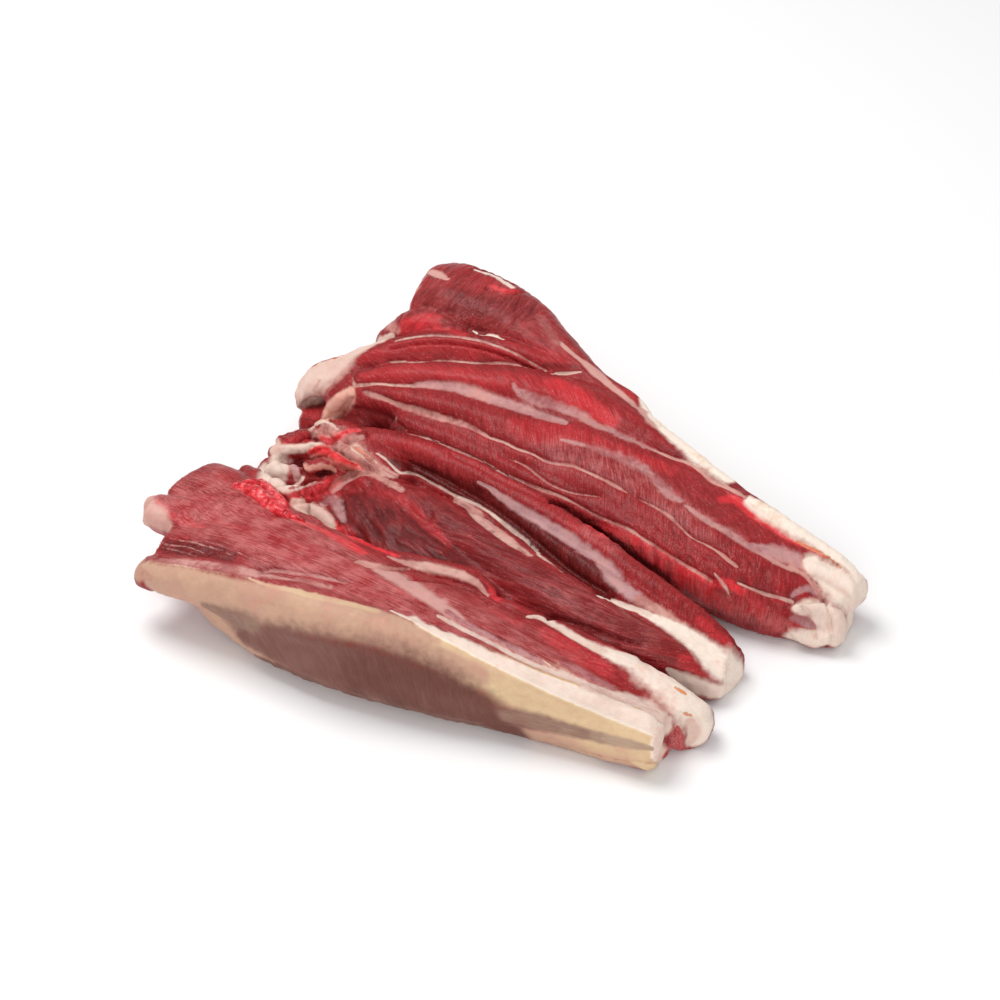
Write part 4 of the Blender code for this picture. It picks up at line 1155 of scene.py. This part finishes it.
def ramp(tree, value, stops):
    """Colour ramp from places with their colours, 0 to 255."""
    made = add_node(tree, "ShaderNodeValToRGB", {0: value})
    elements = made.color_ramp.elements
    elements[0].position, elements[1].position = stops[0][0], stops[-1][0]
    elements[0].color, elements[1].color = srgb(*stops[0][1]), srgb(*stops[-1][1])
    for position, colour in stops[1:-1]:
        elements.new(position).color = srgb(*colour)
    return made.outputs[0]


def new_group(name, inputs, output):
    """A shader node group: itself, what it is given, and its output. An input without a value is a vector."""
    group = bpy.data.node_groups.new(name, "ShaderNodeTree")
    for socket, value in {"Vector": None, **inputs}.items():
        kind = "NodeSocketVector" if value is None else "NodeSocketFloat"
        made = group.interface.new_socket(socket, in_out="INPUT", socket_type=kind)
        if value is not None:
            made.default_value = value
    group.interface.new_socket(output, in_out="OUTPUT", socket_type="NodeSocketFloat")
    return group, group.nodes.new("NodeGroupInput").outputs, group.nodes.new("NodeGroupOutput").inputs[output]


def place_group(tree, group, inputs):
    """Places a group in a material and returns what it puts out."""
    return add_node(tree, "ShaderNodeGroup", inputs, node_tree=group).outputs[0]


def build_ragged_edge():
    """A band whose edge is frayed by noise: a field above 0 is inside."""
    group, given, out = new_group("ragged_edge", {"Field": 0.0, "Fray": 0.35, "Softness": 0.2}, "Mask")
    shifted = math_node(group, "SUBTRACT", noise_node(group, given["Vector"], FRAY_SCALE, 3.0), 0.5)
    strength = math_node(group, "MULTIPLY", given["Fray"], FRAY_STRENGTH)
    frayed = math_node(group, "MULTIPLY_ADD", shifted, strength, given["Field"])
    low = math_node(group, "MULTIPLY", given["Softness"], -1.0)
    group.links.new(map_range(group, frayed, low, given["Softness"]), out)
    return group


def build_mottle():
    """Blotches from -1 to 1 of a given scale."""
    group, given, out = new_group("mottle", {"Scale": 100.0, "Detail": 3.0}, "Value")
    noise = noise_node(group, given["Vector"], given["Scale"], given["Detail"])
    group.links.new(map_range(group, noise, *MOTTLE_RANGE, -1.0, 1.0, smooth=False), out)
    return group


def build_wet_film():
    """Fine wet relief for a Bump: pores and fibres of the surface."""
    group, given, out = new_group("wet_film", {}, "Height")
    pores = noise_node(group, given["Vector"], PORE_SCALE, 3.0)
    waves = noise_node(group, given["Vector"], WAVE_SCALE, 2.0)
    group.links.new(math_node(group, "MULTIPLY_ADD", waves, WAVE_HEIGHT, pores), out)
    return group


def build_fibres():
    """Fine streaks from -1 to 1 along the fibre direction: noise averaged at points along it."""
    group, given, out = new_group("fibres", {"Way": None, "Reach": STREAK_REACH, "Scale": STREAK_SCALE},
        "Value")
    total = None
    for step in range(-STREAK_SAMPLES, STREAK_SAMPLES + 1):
        reach = math_node(group, "MULTIPLY", given["Reach"], step / STREAK_SAMPLES)
        move = add_node(group, "ShaderNodeVectorMath", {0: given["Way"], "Scale": reach}, operation="SCALE")
        place = add_node(group, "ShaderNodeVectorMath", {0: given["Vector"], 1: move.outputs[0]},
            operation="ADD")
        noise = noise_node(group, place.outputs[0], given["Scale"], 0.0)
        total = math_node(group, "ADD", noise, total) if total else noise
    mean = math_node(group, "MULTIPLY", total, 1 / (2 * STREAK_SAMPLES + 1))
    group.links.new(map_range(group, mean, *STREAK_RANGE, -1.0, 1.0, smooth=False), out)
    return group


ragged_edge = build_ragged_edge()
mottle = build_mottle()
wet_film = build_wet_film()
fibres = build_fibres()


# ---- materials
def new_material(name, roughness, subsurface, coat):
    """A moist material: itself, its tree, its shader and the place that its patterns read."""
    material = bpy.data.materials.new(name)
    material.use_nodes = True
    tree = material.node_tree
    shader = tree.nodes["Principled BSDF"]
    for socket, value in {"Roughness": roughness, "Subsurface Weight": subsurface,
            "Subsurface Radius": (1.0, 0.3, 0.25), "Subsurface Scale": 1.2 * MM, "Coat Weight": coat,
            "Coat Roughness": 0.22, "Specular IOR Level": 0.15}.items():
        shader.inputs[socket].default_value = value
    return material, tree, shader, add_node(tree, "ShaderNodeTexCoord").outputs["Object"]


def add_bump(tree, shader, height, strength):
    """Low relief from a height."""
    bump = add_node(tree, "ShaderNodeBump", {"Height": height, "Strength": strength,
        "Distance": BUMP_DISTANCE})
    tree.links.new(bump.outputs[0], shader.inputs["Normal"])


def red_meat(tree, vector, patterns):
    """Red meat along its fibres, with a pale film of membrane and painted sheen, and small pale specks of
    painted glint over it.
    """
    tone = math_node(tree, "ADD", attribute(tree, "tone"), -0.15)
    tone = add_patterns(tree, tone, patterns, {"grain": 0.22, "broad": 0.04, "streak": 0.09, "fine": 0.04},
        clamp=True)
    lit = map_range(tree, tone, 0.1, 0.5, 0.3, 1.0)
    # painted sheen and membrane: a pale film mixed into the meat's colour as strongly as the film_and_sheen
    # attribute says
    sheen_film = place_group(tree, mottle, {"Vector": vector, "Scale": SHEEN_FILM_SCALE, "Detail": 5.0})
    sheen_film = add_patterns(tree, sheen_film, patterns, {"streak": 0.6})
    sheen_film = map_range(tree, sheen_film, -1.4, 2.0, 0.0, 0.74)
    sheen_film = math_node(tree, "MULTIPLY", math_node(tree, "MULTIPLY", sheen_film, attribute(tree, "film_and_sheen")), lit)
    meat = mix_colour(tree, sheen_film, ramp(tree, tone, MEAT_COLOURS), srgb(*SHEEN_FILM_COLOUR))
    # painted glints: small pale specks that stand in for wet highlights
    glints = add_patterns(tree, noise_node(tree, vector, GLINT_SCALE, 1.0), patterns, {"streak": 0.05})
    glints = math_node(tree, "MULTIPLY", map_range(tree, glints, 0.63, 0.74, 0.0, 0.24), lit)
    return mix_colour(tree, glints, meat, srgb(*GLINT_COLOUR))


def pale_layer(tree, vector, patterns):
    """Fat, fascia and tendon: their colour, and the ragged mask that lays them over the meat."""
    warm = add_patterns(tree, attribute(tree, "warmth"), patterns, {"broad": 0.03, "fine": 0.012}, clamp=True)
    blush = add_patterns(tree, patterns["broad"], patterns, {"fine": 0.5})
    blush = map_range(tree, blush, 0.1, 1.3, 0.0, 0.34)
    pale = mix_colour(tree, blush, ramp(tree, warm, PALE_COLOURS), srgb(*BLUSH_COLOUR))
    sinew = map_range(tree, patterns["streak"], -0.2, 1.0, 0.0, 0.13)
    pale = mix_colour(tree, sinew, pale, srgb(*SINEW_COLOUR))
    cover = attribute(tree, "cover")
    mask = place_group(tree, ragged_edge, {"Vector": vector,
        "Field": math_node(tree, "SUBTRACT", attribute(tree, "pale"), 0.16),
        "Fray": map_range(tree, cover, 0.8, 1.0, 0.55, 0.22, smooth=False),
        "Softness": map_range(tree, cover, 0.55, 1.0, 0.62, 0.34, smooth=False)})
    thin = map_range(tree, cover, 1.0, 0.86, 0.0, 0.62, smooth=False)
    gaps = add_patterns(tree, patterns["broad"], patterns, {"fine": 0.4})
    gaps = map_range(tree, gaps, -0.7, 0.5, 1.0, 0.0)
    whole = math_node(tree, "MULTIPLY_ADD", math_node(tree, "MULTIPLY", gaps, thin), -1.0, 1.0)
    return pale, math_node(tree, "MULTIPLY", math_node(tree, "MULTIPLY", mask, cover), whole, clamp=True)


def brown_layer(tree, vector, patterns):
    """Browned fascia: its colour and its ragged mask."""
    tone = math_node(tree, "ADD", attribute(tree, "brown_tone"), -0.09)
    tone = add_patterns(tree, tone, patterns, {"grain": 0.18, "broad": 0.1, "streak": 0.06})
    mask = place_group(tree, ragged_edge, {"Vector": vector, "Field": attribute(tree, "brown"),
        "Fray": 0.22, "Softness": 0.4})
    return ramp(tree, tone, BROWN_COLOURS), mask


def raw_meat_material():
    """Red meat, with fat and fascia over it and browned fascia over both."""
    material, tree, shader, vector = new_material("raw_meat", 0.36, 0.1, 0.0)
    way = attribute(tree, "fibre_way", "Vector")
    patterns = {
        "grain": attribute(tree, "grain"),
        "streak": place_group(tree, fibres, {"Vector": vector, "Way": way}),
        "broad": place_group(tree, mottle, {"Vector": vector, "Scale": BROAD_SCALE, "Detail": 3.0}),
        "fine": place_group(tree, mottle, {"Vector": vector, "Scale": FINE_SCALE, "Detail": 3.0}),
    }
    pale, pale_mask = pale_layer(tree, vector, patterns)
    brown, brown_mask = brown_layer(tree, vector, patterns)
    colour = mix_colour(tree, pale_mask, red_meat(tree, vector, patterns), pale)
    tree.links.new(mix_colour(tree, brown_mask, colour, brown), shader.inputs["Base Color"])
    rough = add_patterns(tree, pale_mask, patterns, {"fine": 0.3})
    rough = map_range(tree, rough, 0.0, 1.0, *MEAT_ROUGHNESS)
    tree.links.new(rough, shader.inputs["Roughness"])
    relief = math_node(tree, "MULTIPLY_ADD", patterns["streak"],
        math_node(tree, "MULTIPLY_ADD", pale_mask, -0.5, 0.7), place_group(tree, wet_film, {"Vector": vector}))
    add_bump(tree, shader, relief, 0.4)
    return material


def clot_material():
    """Red jelly, from dark to a pale pink."""
    material, tree, shader, vector = new_material("red_clot", 0.2, 0.25, 0.35)
    streaks = place_group(tree, mottle, {"Vector": vector, "Scale": CLOT_STREAK_SCALE, "Detail": 4.0})
    patches = place_group(tree, mottle, {"Vector": vector, "Scale": CLOT_PATCH_SCALE, "Detail": 2.0})
    value = math_node(tree, "MULTIPLY_ADD", patches, 0.3, 0.47)
    value = math_node(tree, "MULTIPLY_ADD", streaks, 0.38, value)
    tree.links.new(ramp(tree, value, CLOT_COLOURS), shader.inputs["Base Color"])
    tree.links.new(map_range(tree, streaks, -1.0, 1.0, *CLOT_ROUGHNESS), shader.inputs["Roughness"])
    add_bump(tree, shader, place_group(tree, wet_film, {"Vector": vector}), 0.3)
    return material


# ---- studio
def set_camera():
    """The camera of the main view."""
    right, up, back = view_axes()
    data = bpy.data.cameras.new("view")
    data.lens = VIEW_LENS
    data.sensor_width = VIEW_SENSOR
    data.clip_end = VIEW_CLIP
    camera = bpy.data.objects.new("view", data)
    turn = Matrix((right, up, back)).transposed().to_4x4()
    camera.matrix_world = Matrix.Translation(VIEW_TARGET + back * VIEW_DISTANCE) @ turn
    bpy.context.scene.collection.objects.link(camera)
    bpy.context.scene.camera = camera


def add_light(name, place, power):
    """A square soft light turned to the meat."""
    data = bpy.data.lights.new(name, "AREA")
    data.shape = "SQUARE"
    data.size = LIGHT_SIZE
    data.energy = power
    lamp = bpy.data.objects.new(name, data)
    lamp.location = place
    lamp.rotation_euler = (Vector(LIGHT_TARGET) - Vector(place)).to_track_quat("-Z", "Y").to_euler()
    bpy.context.scene.collection.objects.link(lamp)


def set_studio():
    """A plain pale floor, a white surround and two soft lights."""
    deselect_all()
    bpy.ops.mesh.primitive_plane_add(size=FLOOR_SIZE, location=(0, 0, FLOOR_HEIGHT))
    floor = bpy.context.object
    floor.name = floor.data.name = "floor"
    material = bpy.data.materials.new("floor_white")
    material.use_nodes = True
    shader = material.node_tree.nodes["Principled BSDF"]
    shader.inputs["Base Color"].default_value = FLOOR_COLOUR
    shader.inputs["Roughness"].default_value = FLOOR_ROUGHNESS
    floor.data.materials.append(material)
    world = bpy.data.worlds.new("studio")
    world.use_nodes = True
    background = world.node_tree.nodes["Background"]
    background.inputs["Color"].default_value = (1, 1, 1, 1)
    background.inputs["Strength"].default_value = SURROUND_STRENGTH
    bpy.context.scene.world = world
    for name, (place, power) in LIGHTS.items():
        add_light(name, place, power)
    bpy.context.scene.view_settings.view_transform = "Standard"


set_camera()
set_studio()
skin = fine_skin()
carve(skin, Layout(skin))
thin_underside(skin)
keep_fields(skin)
raw_meat = raw_meat_material()
finish_piece(make_clot(skin_tree(skin)), clot_material())
for bundle in part_bundles(skin):
    finish_piece(bundle, raw_meat)
    sharpen_walls(bundle)
bpy.data.objects.remove(skin)
